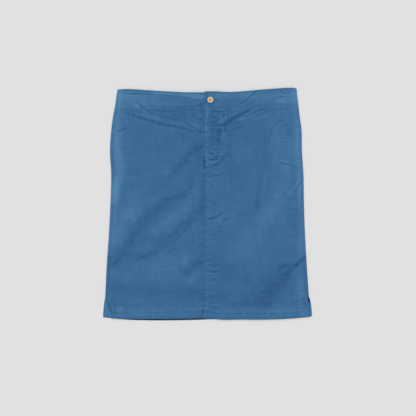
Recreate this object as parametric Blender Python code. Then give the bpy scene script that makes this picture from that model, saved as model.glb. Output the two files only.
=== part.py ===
"""A straight cotton skirt laid flat on its back: two front panels over a one-piece back, a lapped
waistband with one button, a concealed button fly, side vents and a turned-up hem."""

from collections import namedtuple

import bmesh
import bpy
import numpy as np

MM = 0.001

# Driving sizes, in millimetres. "Drop" is the distance down from the highest point of the waist.
LENGTH = 544.1
CLOTH = 1.2
BAND_CLOTH = 1.6
SEAM_GAP = 0.3
BUTTON_WIDTH = 14.3
BUTTON_THICKNESS = 3.0
FLY_BUTTON_WIDTH = 14.0
FLY_BUTTON_THICKNESS = 1.6
BUTTON_AT = (6.6, 28.4)
FLY_BUTTON_AT = (24.2, 147.0)

# Heights of the front pieces over the back, and the air that the laid cloth holds, which goes
# out of it towards the sides and the hem
PANEL_REST = CLOTH + SEAM_GAP
BAND_REST = BAND_CLOTH + SEAM_GAP
LOFT = 1.5
LEAST_LOFT = 0.25
LOFT_REACH = 12.0
HEM_LOFT_REACH = 6.0

# The fly: its edge, how far what lies under it reaches, and the curve that closes it below
FLY_EDGE = -6.2
LEFT_UNDER = 12.0
BAND_UNDER = 30.0
UNDERLAP_REACH = 36.0
UNDERLAP_CURVE = (140.0, 178.0)
UNDERLAP_END = 165.0
LEFT_UNDER_END = 172.0
LAP_LIFT = 2.2
LAP_MARGIN = 6.0
LAP_SLOPE = 11.0

# Grid steps of the sheets, and the passes that settle a grid between curved edges
STEP = 12.5
FINE_STEP = 6.0
EDGE_PASSES = 6

Side = namedtuple("Side", "drop left right")
SIDE_SEAMS = [
    Side(0, 209.0, 208.3),
    Side(12, 211.8, 209.2),
    Side(40, 215.7, 212.5),
    Side(68, 221.1, 215.7),
    Side(96, 224.8, 219.6),
    Side(140, 228.0, 220.5),
    Side(208, 225.2, 224.6),
    Side(264, 226.9, 225.3),
    Side(334, 230.2, 227.6),
    Side(418, 235.8, 232.3),
    Side(486, 239.0, 236.8),
]
FRONT_VENTS = [
    Side(486, 239.0, 236.8),
    Side(504, 232.0, 238.4),
    Side(522, 226.4, 240.0),
    Side(544, 224.2, 241.0),
]
BACK_VENTS = [
    Side(486, 239.0, 236.8),
    Side(502, 241.8, 241.4),
    Side(520, 243.6, 243.9),
    Side(534, 244.3, 244.3),
    Side(544, 242.6, 242.0),
]

Edge = namedtuple("Edge", "x drop")
WAIST_LEFT = [
    Edge(-209, 4.0),
    Edge(-199, 3.3),
    Edge(-143, 5.6),
    Edge(-87, 8.9),
    Edge(-45, 10.6),
    Edge(-16, 10.6),
    Edge(30, 10.4),
]
WAIST_RIGHT = [
    Edge(-7, 8.8),
    Edge(11, 8.4),
    Edge(53, 9.8),
    Edge(81, 8.4),
    Edge(109, 5.8),
    Edge(137, 3.5),
    Edge(165, 1.4),
    Edge(193, 0.0),
    Edge(203, 0.4),
    Edge(209, 2.4),
]
WAIST_BACK = [
    Edge(-209, 5.0),
    Edge(-143, 6.6),
    Edge(-45, 11.6),
    Edge(53, 10.8),
    Edge(109, 6.8),
    Edge(209, 3.4),
]
BAND_SEAM_LEFT = [
    Edge(-216, 41.5),
    Edge(-150, 45.5),
    Edge(-87, 49.0),
    Edge(-45, 49.5),
    Edge(-20, 46.5),
    Edge(0, 44.0),
    Edge(36, 43.5),
]
BAND_SEAM_RIGHT = [
    Edge(-7, 45.5),
    Edge(50, 47.5),
    Edge(110, 44.8),
    Edge(165, 41.2),
    Edge(213, 41.0),
]
BAND_SEAM_BACK = [Edge(-216, 41.5), Edge(213, 41.5)]
FRONT_HEM = [
    Edge(-225, 539.5),
    Edge(-171, 541.2),
    Edge(-101, 541.8),
    Edge(-17, 540.4),
    Edge(11, 540.2),
    Edge(81, 542.0),
    Edge(123, 542.3),
    Edge(193, 539.9),
    Edge(241, 535.6),
]
BACK_HEM = [
    Edge(-243, 537.0),
    Edge(-199, 541.6),
    Edge(-143, 543.8),
    Edge(-101, 544.1),
    Edge(-17, 542.5),
    Edge(25, 541.2),
    Edge(123, 541.0),
    Edge(193, 538.4),
    Edge(243, 534.4),
]
CENTRE_FRONT = [
    Edge(FLY_EDGE, 0),
    Edge(FLY_EDGE, 190),
    Edge(-7.6, 400),
    Edge(-8.6, 500),
    Edge(-12.5, 544),
]

# The largest folds. Each is an arc from one place to another, bowed sideways by so much: a ridge
# where it rises, and a trough where it falls.
Fold = namedtuple("Fold", "x0 drop0 x1 drop1 bow width rise")
FOLDS = [
    Fold(-222, 55, -8, 112, -2, 13, -1.5),
    Fold(-180, 29, -8, 104, 4, 12, -1.1),
    Fold(-30, 70, -195, 42, 2, 13, 0.8),
    Fold(36, 92, 116, 42, 2, 12, -1.8),
    Fold(44, 101, 152, 38, 2, 12, -1.2),
    Fold(50, 112, 150, 72, -2, 13, 0.9),
    Fold(42, 122, 128, 92, 2, 13, -0.9),
    Fold(-8, 134, -112, 226, 3, 16, -1.2),
    Fold(-38, 232, -228, 414, -21, 17, -1.3),
    Fold(-6, 250, -190, 392, 24, 16, -1.2),
    Fold(-6, 378, -50, 436, 0, 16, -1.1),
    Fold(-62, 462, -6, 510, 0, 20, -0.9),
    Fold(-225, 462, -85, 464, 4, 15, -0.8),
    Fold(236, 392, 150, 428, -6, 13, -1.5),
    Fold(176, 440, 60, 512, -10, 22, -1.2),
    Fold(232, 478, 158, 472, 2, 13, -0.8),
    Fold(150, 78, 118, 300, 6, 14, 0.9),
    Fold(228, 196, 172, 214, 2, 13, -0.8),
    Fold(14, 300, 56, 356, 0, 20, -0.8),
    Fold(-150, 120, -60, 260, 8, 20, 0.7),
    Fold(-206, 240, -90, 330, -16, 20, 0.7),
    Fold(60, 230, 150, 400, 12, 26, 0.6),
    Fold(-150, 420, -30, 470, 6, 22, 0.7),
]
WAIST_ROLL = Fold(-212, 12, -8, 29, -2, 5, -1.1)
BAND_PINCH = Fold(112, 10, 70, 46, 0, 5, -1.2)


def smooth_through(knots, values, at):
    """Reads the smooth curve through the given values at the places asked for."""
    knots = np.asarray(knots, float)
    values = np.asarray(values, float)
    slopes = np.gradient(values, knots)
    at = np.clip(at, knots[0], knots[-1])
    row = np.clip(np.searchsorted(knots, at) - 1, 0, len(knots) - 2)
    span = knots[row + 1] - knots[row]
    t = (at - knots[row]) / span
    start = (2 * t**3 - 3 * t**2 + 1) * values[row]
    start += (t**3 - 2 * t**2 + t) * span * slopes[row]
    end = (3 * t**2 - 2 * t**3) * values[row + 1]
    end += (t**3 - t**2) * span * slopes[row + 1]
    return start + end


def ease(t):
    """0 up to t = 0, 1 from t = 1, and smooth between."""
    t = np.clip(t, 0, 1)
    return t * t * (3 - 2 * t)


def side_line(side, vents):
    """The skirt's outline on one side as a function of the drop, down the seam and then the vent."""
    sign = -1 if side == "left" else 1

    def x_at(drop):
        seam = smooth_through([row.drop for row in SIDE_SEAMS], [getattr(row, side) for row in SIDE_SEAMS], drop)
        vent = smooth_through([row.drop for row in vents], [getattr(row, side) for row in vents], drop)
        return sign * np.where(drop < vents[0].drop, seam, vent)

    return x_at


def cross_line(edges, shift=0.0):
    """The drop of an edge that runs across the skirt, as a function of x."""
    return lambda x: smooth_through([row.x for row in edges], [row.drop for row in edges], x) + shift


def centre_line(shift):
    """The fly edge and the seam below it, moved sideways by shift."""
    drops = [row.drop for row in CENTRE_FRONT]
    places = [row.x for row in CENTRE_FRONT]
    return lambda drop: smooth_through(drops, places, drop) + shift


def left_under_line(drop):
    """The left front's inner edge: it runs on under the fly, and comes back to the seam below."""
    back = ease((drop - LEFT_UNDER_END + LAP_SLOPE) / LAP_SLOPE)
    return centre_line(-SEAM_GAP / 2)(drop) + LEFT_UNDER * (1 - back)


def underlap_line(drop):
    """The underlap's outer edge, straight and then curved in to close the fly."""
    start, end = UNDERLAP_CURVE
    t = np.clip((drop - start) / (end - start), 0, 1)
    return FLY_EDGE + UNDERLAP_REACH * np.sqrt(1 - t * t)


def fold_height(fold, x, drop):
    """How far a fold lifts or sinks the cloth at each place."""
    along_x = fold.x1 - fold.x0
    along_drop = fold.drop1 - fold.drop0
    length = np.hypot(along_x, along_drop)
    t = ((x - fold.x0) * along_x + (drop - fold.drop0) * along_drop) / length**2
    t = np.clip(t, 0, 1)
    off = ((drop - fold.drop0) * along_x - (x - fold.x0) * along_drop) / length
    off = off - fold.bow * 4 * t * (1 - t)
    fade = ease(4 * t) * ease(4 * (1 - t))
    return fold.rise * fade * np.exp(-((off / fold.width) ** 2))


def laid_height(x, drop, folds=()):
    """The front's relief over its resting height: air under the cloth, less at its edges, and folds."""
    from_left = x - side_line("left", FRONT_VENTS)(drop)
    from_right = side_line("right", FRONT_VENTS)(drop) - x
    from_hem = cross_line(FRONT_HEM)(x) - drop + HEM_LOFT_REACH
    inward = np.minimum(np.minimum(from_left, from_right), from_hem)
    full = 1 - np.exp(-np.clip(inward, 0, None) / LOFT_REACH)
    relief = LOFT + sum(fold_height(fold, x, drop) for fold in [*FOLDS, *folds])
    return full * np.maximum(relief, LEAST_LOFT)


def lap_height(x, drop, edge, end):
    """The lift of a piece that lies over another, whose edge and end are given."""
    across = (x - edge - LAP_MARGIN) / LAP_SLOPE
    down = (drop - end - LAP_SLOPE) / LAP_SLOPE
    return LAP_LIFT * (1 - ease(across)) * (1 - ease(down))


def fly_button_height(x, drop):
    """The bump that the concealed button raises in the fly above it."""
    away = np.hypot(x - FLY_BUTTON_AT[0], drop - FLY_BUTTON_AT[1])
    beyond = away - FLY_BUTTON_WIDTH / 2 - LAP_MARGIN
    return (FLY_BUTTON_THICKNESS + SEAM_GAP) * (1 - ease(beyond / LAP_SLOPE))


def spread(*stretches):
    """Grid lines from 0 to 1, from stretches of (start, stop, step) that follow on one another."""
    lines = [np.linspace(start, stop, round((stop - start) / step) + 1) for start, stop, step in stretches]
    lines = np.unique(np.concatenate(lines))
    return (lines - lines[0]) / (lines[-1] - lines[0])


def washed_cotton():
    material = bpy.data.materials.new("washed_cotton")
    material.use_nodes = True
    shader = material.node_tree.nodes["Principled BSDF"]
    shader.inputs["Base Color"].default_value = (0.048, 0.147, 0.305, 1)
    shader.inputs["Roughness"].default_value = 0.9
    shader.inputs["Metallic"].default_value = 0.0
    return material


def corozo_nut():
    material = bpy.data.materials.new("corozo_nut")
    material.use_nodes = True
    shader = material.node_tree.nodes["Principled BSDF"]
    shader.inputs["Base Color"].default_value = (0.67, 0.48, 0.29, 1)
    shader.inputs["Roughness"].default_value = 0.45
    shader.inputs["Metallic"].default_value = 0.0
    return material


def add_object(name, mesh, material):
    data = bpy.data.meshes.new(name)
    mesh.to_mesh(data)
    mesh.free()
    data.materials.append(material)
    data.shade_smooth()
    piece = bpy.data.objects.new(name, data)
    bpy.context.scene.collection.objects.link(piece)
    return piece


def add_sheet(name, material, wall, sides, ends, height, columns, rows):
    """A sheet of cloth between two side lines and two end lines. Its grid is the underside, and
    the wall stands on it."""
    mesh = bmesh.new()
    bmesh.ops.create_grid(mesh, x_segments=len(columns) - 1, y_segments=len(rows) - 1, size=0.5)
    grid = np.array([vert.co for vert in mesh.verts])
    across = np.interp(grid[:, 0] + 0.5, np.linspace(0, 1, len(columns)), columns)
    down = np.interp(0.5 - grid[:, 1], np.linspace(0, 1, len(rows)), rows)
    drop = LENGTH * down
    for _ in range(EDGE_PASSES):
        x = sides[0](drop) * (1 - across) + sides[1](drop) * across
        drop = ends[0](x) * (1 - down) + ends[1](x) * down
    places = np.column_stack([x, LENGTH / 2 - drop, height(x, drop)]) * MM
    for vert, place in zip(mesh.verts, places):
        vert.co = place
    piece = add_object(name, mesh, material)
    solid = piece.modifiers.new("wall", "SOLIDIFY")
    solid.thickness = wall * MM
    solid.offset = 1


def flat(x, drop):
    """The height of what lies on the floor."""
    return 0 * (x + drop)


def panel_height(x, drop):
    return PANEL_REST + laid_height(x, drop)


def right_panel_height(x, drop):
    lap = lap_height(x, drop, underlap_line(drop), LEFT_UNDER_END)
    return panel_height(x, drop) + lap + fly_button_height(x, drop)


def left_band_height(x, drop):
    return BAND_REST + laid_height(x, drop, [WAIST_ROLL])


def right_band_height(x, drop):
    lap = lap_height(x, drop, FLY_EDGE + BAND_UNDER, LEFT_UNDER_END)
    return BAND_REST + laid_height(x, drop, [BAND_PINCH]) + lap


def add_back(cloth):
    """The back panel and its waistband, flat on the floor under the front."""
    sides = (side_line("left", BACK_VENTS), side_line("right", BACK_VENTS))
    columns = spread((-220, 220, 40))
    ends = (cross_line(BAND_SEAM_BACK, SEAM_GAP / 2), cross_line(BACK_HEM))
    rows = spread((42, 474, 36), (474, 544, 10))
    add_sheet("back_panel", cloth, CLOTH, sides, ends, flat, columns, rows)
    ends = (cross_line(WAIST_BACK), cross_line(BAND_SEAM_BACK, -SEAM_GAP / 2))
    add_sheet("waistband_back", cloth, BAND_CLOTH, sides, ends, flat, columns, spread((4, 40, STEP)))


def add_left_front(cloth):
    """The left front panel, the underlap on its fly edge and the left end of the waistband."""
    side = side_line("left", FRONT_VENTS)
    top = cross_line(BAND_SEAM_LEFT, SEAM_GAP / 2)
    columns = spread((-234, -228, 3), (-228, -40, STEP), (-40, 0, FINE_STEP))
    rows = spread((44, 156, STEP), (156, 190, FINE_STEP), (190, 541, STEP))
    ends = (top, cross_line(FRONT_HEM))
    add_sheet("front_left", cloth, CLOTH, (side, left_under_line), ends, panel_height, columns, rows)

    sides = (centre_line(LEFT_UNDER + SEAM_GAP), underlap_line)
    ends = (top, cross_line([Edge(FLY_EDGE, UNDERLAP_END), Edge(FLY_EDGE + UNDERLAP_REACH, UNDERLAP_END)]))
    columns_under = spread((LEFT_UNDER, UNDERLAP_REACH, FINE_STEP))
    rows = spread((44, 140, STEP), (140, UNDERLAP_END, FINE_STEP))
    add_sheet("fly_underlap", cloth, CLOTH, sides, ends, panel_height, columns_under, rows)

    sides = (side, centre_line(BAND_UNDER))
    ends = (cross_line(WAIST_LEFT), cross_line(BAND_SEAM_LEFT, -SEAM_GAP / 2))
    rows = spread((4, 44, FINE_STEP))
    add_sheet("waistband_front_left", cloth, BAND_CLOTH, sides, ends, left_band_height, columns, rows)


def add_right_front(cloth):
    """The right front panel and its waistband, which both lap over the left ones at the fly."""
    sides = (centre_line(SEAM_GAP / 2), side_line("right", FRONT_VENTS))
    columns = spread((-6, 54, FINE_STEP), (54, 228, STEP), (228, 234, 3))
    rows = spread((46, 122, STEP), (122, 206, FINE_STEP), (206, 541, STEP))
    ends = (cross_line(BAND_SEAM_RIGHT, SEAM_GAP / 2), cross_line(FRONT_HEM))
    add_sheet("front_right", cloth, CLOTH, sides, ends, right_panel_height, columns, rows)

    ends = (cross_line(WAIST_RIGHT), cross_line(BAND_SEAM_RIGHT, -SEAM_GAP / 2))
    rows = spread((4, 44, FINE_STEP))
    add_sheet("waistband_front_right", cloth, BAND_CLOTH, sides, ends, right_band_height, columns, rows)


def add_turned_button(name, material, at, base, profile, steps):
    """A turned button: its profile, as radius and height, is spun about its own axis."""
    mesh = bmesh.new()
    points = [mesh.verts.new((radius * MM, 0, height * MM)) for radius, height in profile]
    lines = [mesh.edges.new(pair) for pair in zip(points, points[1:])]
    bmesh.ops.spin(
        mesh,
        geom=points + lines,
        axis=(0, 0, 1),
        cent=(0, 0, 0),
        angle=2 * np.pi,
        steps=steps,
        use_merge=True,
    )
    bmesh.ops.remove_doubles(mesh, verts=mesh.verts, dist=0.01 * MM)
    bmesh.ops.recalc_face_normals(mesh, faces=mesh.faces)
    piece = add_object(name, mesh, material)
    x, drop = at
    piece.location = (x * MM, (LENGTH / 2 - drop) * MM, base * MM)


def add_buttons(nut):
    """The waist button on the lapped band, and the concealed one between underlap and fly."""
    rim = BUTTON_WIDTH / 2
    thick = BUTTON_THICKNESS
    profile = [
        (0, 0),
        (rim - 1.6, 0),
        (rim - 0.4, 0.7),
        (rim, 0.5 * thick),
        (rim - 0.5, thick - 0.4),
        (rim - 1.4, thick),
        (rim - 2.5, thick - 0.4),
        (rim - 3.4, thick - 1.1),
        (0, thick - 1.3),
    ]
    base = float(right_band_height(*BUTTON_AT)) + BAND_CLOTH + 2 * SEAM_GAP
    add_turned_button("button", nut, BUTTON_AT, base, profile, 32)

    rim = FLY_BUTTON_WIDTH / 2
    thick = FLY_BUTTON_THICKNESS
    profile = [(0, 0), (rim - 0.6, 0), (rim, thick / 2), (rim - 0.6, thick), (0, thick)]
    base = float(panel_height(*FLY_BUTTON_AT)) + CLOTH + 2 * SEAM_GAP
    add_turned_button("fly_button", nut, FLY_BUTTON_AT, base, profile, 20)


def main():
    for thing in list(bpy.data.objects):
        bpy.data.objects.remove(thing)
    cloth = washed_cotton()
    add_back(cloth)
    add_left_front(cloth)
    add_right_front(cloth)
    add_buttons(corozo_nut())


main()
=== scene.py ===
from collections import namedtuple
from math import cos, pi, radians, sin

import bmesh
import bpy
import numpy as np
from bpy.props import FloatProperty, FloatVectorProperty, IntProperty, PointerProperty
from bpy.types import Operator, Panel, PropertyGroup
from mathutils import Matrix, Vector


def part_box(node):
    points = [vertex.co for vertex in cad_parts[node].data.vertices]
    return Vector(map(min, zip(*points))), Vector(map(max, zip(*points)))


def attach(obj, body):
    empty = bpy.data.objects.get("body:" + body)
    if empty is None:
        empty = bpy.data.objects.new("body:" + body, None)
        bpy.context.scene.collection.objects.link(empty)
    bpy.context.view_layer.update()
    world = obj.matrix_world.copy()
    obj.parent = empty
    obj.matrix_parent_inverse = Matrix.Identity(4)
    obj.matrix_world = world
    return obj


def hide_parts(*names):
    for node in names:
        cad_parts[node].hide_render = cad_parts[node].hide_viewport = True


bl_info = {
    "name": "Laid-out cotton skirt",
    "version": (1, 0, 0),
    "blender": (4, 5, 0),
    "location": "3D View > Sidebar > Skirt",
    "description": "Builds the cloth, seams, stitching and buttons of a straight cotton skirt laid flat",
    "category": "Add Mesh",
}

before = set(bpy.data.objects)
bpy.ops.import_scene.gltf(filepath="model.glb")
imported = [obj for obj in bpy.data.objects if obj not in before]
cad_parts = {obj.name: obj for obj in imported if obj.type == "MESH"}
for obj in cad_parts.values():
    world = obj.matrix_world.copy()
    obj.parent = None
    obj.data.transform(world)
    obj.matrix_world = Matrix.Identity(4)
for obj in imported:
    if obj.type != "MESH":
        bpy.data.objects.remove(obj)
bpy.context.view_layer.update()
COTTON = "washed_plain_weave_cotton"
THREAD = "spun_polyester_thread"

MM = 0.001

# Sizes below are millimetres. "Drop" is the distance down from the highest point of the waist.
LENGTH = 544.1
SEAM_GAP = 0.06
PANEL_REST = 1.5
BAND_REST = 1.9
LOFT = 2.2
LEAST_LOFT = 0.2
SOFTEST_LOFT = 0.25
LOFT_REACH = 12.0
HEM_LOFT_REACH = 6.0
BUTTON_AT = (6.6, 28.4)
FLY_BUTTON_AT = (24.2, 147.0)

# The fly
FLY_EDGE = -6.2
LEFT_UNDER = 12.0
BAND_UNDER = 30.0
UNDERLAP_REACH = 36.0
UNDERLAP_CURVE = (140.0, 178.0)
UNDERLAP_END = 165.0
LEFT_UNDER_END = 172.0
FLY_END = 190.0
LAP_LIFT = 1.5
LAP_MARGIN = 1.0
LAP_SLOPE = 26.0
EDGE_SLOPE = 9.0
J_STITCH_REACH = 44.8
J_STITCH_CURVE = (148.0, 189.0)

# Seams, counted in from the edge that they follow
SIDE_STITCH_IN = 5.6
HEM_STITCH_UP = 14.0
HEM_TURNING = 27.0
VENT_STITCH_IN = 9.0
VENT_TOP = 486.0
CENTRE_STITCH_IN = 5.4
BAND_STITCH_IN = 2.4
LEFT_FLY_STITCH_IN = 9.0
STITCH_GROOVE = 1.1
SEAM_RISE = 0.6
SEAM_RISE_REACH = 9.0

# How dark the painted shade in the front's folds gets at most, on the same scale as the painted shade and
# wear
DEEPEST_PAINTED_SHADE = -0.82

# Grid steps of the sheets, and the passes that settle a grid between curved edges
STEP = 2.2
FINE_STEP = 1.4
BACK_STEP = 3.6
BACK_HEM_STEP = 2.4
BACK_BAND_STEP = 3.0
EDGE_STEPS = (0.0, 0.12, 0.35, 0.7, 1.1, 1.7, 2.6)
EDGE_PASSES = 6

Side = namedtuple("Side", "drop left right")
Edge = namedtuple("Edge", "x drop")


def half_widths(*rows):
    """How far the outline lies left and right of the middle, at places down the skirt."""
    return [Side(*row) for row in rows]


def edge_through(*places):
    """An edge through places given as x and drop."""
    return [Edge(*place) for place in places]


SIDE_SEAMS = half_widths(
    (0, 209.0, 208.3), (12, 211.8, 209.2), (40, 215.7, 212.5), (68, 221.1, 215.7),
    (96, 224.8, 219.6), (140, 228.0, 220.5), (208, 225.2, 224.6), (264, 226.9, 225.3),
    (334, 230.2, 227.6), (418, 235.8, 232.3), (486, 239.0, 236.8),
)
FRONT_VENTS = half_widths(
    (486, 239.0, 236.8), (495, 235.6, 234.8), (504, 232.0, 237.6), (522, 226.4, 240.0),
    (544, 224.2, 241.0),
)
BACK_VENTS = half_widths(
    (486, 239.0, 236.8), (502, 241.8, 241.4), (520, 243.6, 243.9), (534, 244.3, 244.3),
    (544, 242.6, 242.0),
)
WAIST_LEFT = edge_through(
    (-209, 4.0), (-199, 3.3), (-143, 5.6), (-87, 8.9), (-45, 10.6), (-16, 10.6), (30, 10.4)
)
WAIST_RIGHT = edge_through(
    (-7, 8.8), (11, 8.4), (53, 9.8), (81, 8.4), (109, 5.8), (137, 3.5), (165, 1.4), (193, 0.0),
    (203, 0.4), (209, 2.4),
)
WAIST_BACK = edge_through((-209, 5.0), (-143, 6.6), (-45, 11.6), (53, 10.8), (109, 6.8), (209, 3.4))
BAND_SEAM_LEFT = edge_through(
    (-216, 41.5), (-150, 45.5), (-87, 49.0), (-45, 49.5), (-20, 46.5), (0, 44.0), (36, 43.5)
)
BAND_SEAM_RIGHT = edge_through((-7, 45.5), (50, 47.5), (110, 44.8), (165, 41.2), (213, 41.0))
BAND_SEAM_BACK = edge_through((-216, 41.5), (213, 41.5))
FRONT_HEM = edge_through(
    (-225, 539.5), (-171, 540.2), (-101, 540.0), (-50, 539.4), (-17, 538.4), (4, 538.6),
    (18, 541.0), (81, 542.0), (123, 542.3), (193, 539.9), (241, 535.6),
)
BACK_HEM = edge_through(
    (-243, 537.0), (-199, 541.6), (-143, 543.8), (-101, 544.1), (-17, 542.5), (25, 541.2),
    (123, 541.0), (193, 538.4), (243, 534.4),
)
CENTRE_FRONT = edge_through((FLY_EDGE, 0), (FLY_EDGE, FLY_END), (-7.6, 400), (-8.6, 500), (-12.5, 544))

# Folds and creases: how far each lifts or sinks the cloth, over what width, and along what path of
# (x, drop) places. Those that run on over an edge of the cloth keep their depth up to it.
Fold = namedtuple("Fold", "rise width path")


def fold_rows(*rows):
    """Folds from rows of their rise, their width and the places on their path."""
    return [Fold(rise, width, path) for rise, width, *path in rows]


FOLDS = fold_rows(
    # Drawn lines from the left hip to the fly
    (-0.9, 3.4, (-192, 59), (-160, 69), (-120, 82), (-100, 87), (-68, 93), (-44, 98), (-4, 109)),
    (-0.4, 3.2, (-128, 80), (-100, 87), (-66, 92.5)),
    (-0.7, 2.2, (-178, 25), (-157, 40), (-141, 53), (-132, 60), (-116, 64)),
    (-0.6, 2.8, (-132, 60), (-110, 64), (-84, 71), (-56, 80)),
    (-1, 2.6, (-60, 78), (-36, 91), (-14, 102), (2, 108)),
    (0.3, 3, (-150, 62), (-110, 75), (-70, 84)),
    (-0.7, 2.2, (-224, 104), (-200, 98), (-180, 91)),
    (-0.3, 1.8, (-208, 60), (-182, 58)),
    (-0.3, 1.8, (-204, 72), (-178, 74)),
    # Slanting folds of the left front
    (-0.5, 10, (-6, 139), (-26, 144), (-42, 156), (-54, 173), (-66, 186), (-82, 204), (-102, 220)),
    (-0.4, 9, (-42, 218), (-44, 236), (-54, 250), (-94, 263), (-124, 287), (-148, 310)),
    (-0.3, 12, (-124, 288), (-150, 313), (-165, 332), (-182, 366), (-228, 418)),
    (-0.35, 2.4, (-186, 378), (-204, 398), (-222, 416)),
    (-0.5, 10, (-20, 296), (-50, 320), (-100, 354), (-120, 376), (-140, 390), (-182, 392)),
    (-0.3, 10, (-4, 398), (-24, 408), (-42, 424), (-62, 446)),
    # Above the left hem
    (-0.4, 2.2, (-172, 485), (-152, 491), (-130, 498)),
    (-0.3, 2, (-184, 491), (-164, 492)),
    (-0.4, 2, (-214, 505), (-186, 508)),
    (-0.4, 2.6, (-54, 467), (-44, 468)),
    # Drawn lines from the fly to the right hip
    (-1.3, 4.6, (26, 96), (40, 86.5), (60, 72.5), (80, 61.5), (106, 47)),
    (-0.5, 3, (36, 86), (42, 96), (50, 106)),
    (-0.3, 3, (40, 88), (56, 84), (78, 74)),
    (-0.7, 2.6, (76, 73), (100, 62), (120, 53), (148, 44)),
    (-0.5, 2, (44, 96), (66, 84), (88, 72)),
    (-0.5, 2.4, (76, 84), (104, 70), (124, 61), (156, 52)),
    (-0.5, 2.2, (46, 104), (70, 94), (96, 82)),
    (-0.25, 2.4, (40, 116), (60, 110), (80, 106)),
    # Soft lines of the right hip
    (-0.4, 3.5, (186, 75), (166, 79), (154, 90), (147, 106), (142, 126), (141, 142)),
    (-0.3, 2.6, (149, 148), (151, 204)),
    (0.35, 2.4, (136, 206), (132, 222), (132, 246)),
    (-0.3, 5, (118, 236), (117, 262), (118, 296)),
    (-0.4, 1.8, (168, 117), (188, 117)),
    (-0.3, 1.8, (168, 125), (182, 126)),
    (-0.3, 1.8, (170, 88), (204, 86)),
    (-0.7, 2, (160, 174), (186, 178.5), (200, 183), (214, 188), (236, 192)),
    (0.5, 2.2, (164, 169), (184, 173), (204, 178)),
    (-1.3, 2.3, (232, 204), (219, 219), (212, 230), (202, 245)),
    (0.35, 4.5, (226, 198), (210, 226), (190, 252), (160, 278)),
    (-0.4, 2.2, (182, 288), (196, 284), (214, 283)),
    (-0.4, 8, (190, 286), (194, 312), (198, 344)),
    (-0.3, 4, (204, 340), (188, 354), (158, 356)),
    # Beside the centre front
    (-0.6, 2.2, (-6, 208), (18, 206), (44, 198)),
    (-0.5, 2.6, (10, 218), (9, 238)),
    (-0.8, 2.4, (-12, 306), (10, 305), (23, 300), (34, 292), (50, 289)),
    (-0.6, 2.8, (34, 316), (44, 307), (60, 305)),
    (0.4, 5, (24, 320), (34, 302)),
    (-0.5, 2.2, (2, 336), (24, 335), (42, 336)),
    (-0.35, 5, (18, 330), (40, 326)),
    (-0.5, 2.4, (-14, 405), (12, 404), (30, 408)),
    (-0.4, 2.4, (-4, 414), (16, 412), (38, 417)),
    (-0.7, 2.6, (-8, 426), (14, 429), (38, 428)),
    (-0.5, 2.4, (-8, 452), (10, 450), (28, 443)),
    (-0.4, 2.2, (38, 444), (68, 447)),
    (-0.7, 2.4, (-20, 473), (2, 472), (24, 474)),
    (-0.4, 2.2, (36, 481), (58, 485)),
    (-0.4, 2.4, (-4, 488), (20, 490)),
    (-0.5, 3, (12, 478), (10, 496), (10, 514)),
    (-0.2, 2.6, (-6.6, 184), (-7.6, 400), (-8.6, 500), (-12.5, 550)),
    (-1.2, 2.4, (-9, 506), (-11, 520), (-15, 538), (-18, 552)),
    # The deep fold above the right vent, and what runs on from it to the hem
    (-1.6, 4.6, (252, 376), (222, 402), (208, 413), (194, 421)),
    (-0.5, 6, (214, 408), (192, 426), (172, 438)),
    (-0.5, 4, (204, 416), (186, 417), (168, 424), (162, 436)),
    (-0.4, 20, (216, 404), (186, 440), (166, 462), (150, 486), (124, 530)),
    (0.5, 4, (170, 428), (186, 426)),
    (-0.5, 2.6, (158, 424), (170, 417), (188, 413)),
    (-0.5, 2.6, (164, 434), (178, 438), (194, 434)),
    (-0.3, 1.8, (186, 479), (210, 476), (230, 469)),
    (-0.7, 2, (184, 504), (208, 500), (234, 491)),
    (-0.3, 1.8, (188, 496), (214, 493)),
)
# The left front is drawn in below the waistband, and pressed down where the fly ends
LEFT_FOLDS = fold_rows(
    (-0.6, 2, (-150, 51), (-100, 54), (-60, 53.5), (-14, 50)),
    (-1.4, 1.6, (-8, 150), (-8, 172), (-8.5, 200)),
)
# The fly facing is drawn in along its curved row of stitches
RIGHT_FOLDS = fold_rows(
    (-0.3, 1.8, (2, 52), (18, 54), (34, 59)),
    (-0.4, 1.6, (-4, 46), (8, 47), (20, 46)),
    (-0.6, 2, (-6, 80), (16, 80), (36, 82)),
    (-0.9, 2.6, (14, 86.5), (28, 87), (42, 84)),
    (-0.5, 2.4, (2, 96), (14, 99), (30, 98), (42, 94)),
    (-0.5, 2, (20, 92), (26, 104), (29, 112), (24, 124), (27, 134)),
    (-0.6, 1.8, (16, 125), (34, 124)),
    (-0.5, 2, (8, 112), (24, 117), (38, 119)),
    (-0.4, 1.8, (36, 128), (37, 146), (34, 158)),
    (-0.9, 2, (-8, 157), (2, 165), (12, 168.5), (24, 167), (34, 161)),
    (-0.5, 1.8, (2, 160), (18, 162), (30, 161), (42, 156)),
    (-1.1, 1.9, (-10, 190), (8, 184.5), (20, 179.5), (31, 171), (38, 160), (40, 148)),
)
WAIST_ROLL = fold_rows(
    (-0.7, 1.4, (-206, 12), (-170, 15), (-120, 17), (-90, 18.5), (-60, 22), (-40, 26), (-4, 37)),
    (-1.6, 2.8, (-34, 45), (-16, 39), (2, 36)),
    (-0.4, 1.6, (-122, 46), (-80, 46.5), (-50, 43.5), (-20, 42)),
)
BAND_PINCH = fold_rows(
    (-1.5, 1.9, (124, 3), (100, 20), (84, 33), (66, 46)),
    (-0.6, 2, (140, 34), (152, 26), (164, 22), (198, 21)),
    (-0.8, 2.2, (166, 3), (176, 10), (180, 18)),
    (-0.3, 1.8, (20, 24), (44, 25)),
    (-0.3, 1.6, (50, 27), (74, 29), (98, 27)),
    (-0.3, 1.8, (42, 34), (74, 30)),
    (-0.6, 1.8, (-6, 42), (18, 45), (34, 52)),
)

# Small creases strewn along a path: how many, how far they stray sideways, and their turn from it
Strewn = namedtuple("Strewn", "rise width length count stray turn seed path")


def strewn_rows(*rows):
    """Strewn creases from rows of seven values and the places on their path."""
    return [Strewn(*row[:7], row[7:]) for row in rows]


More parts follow.
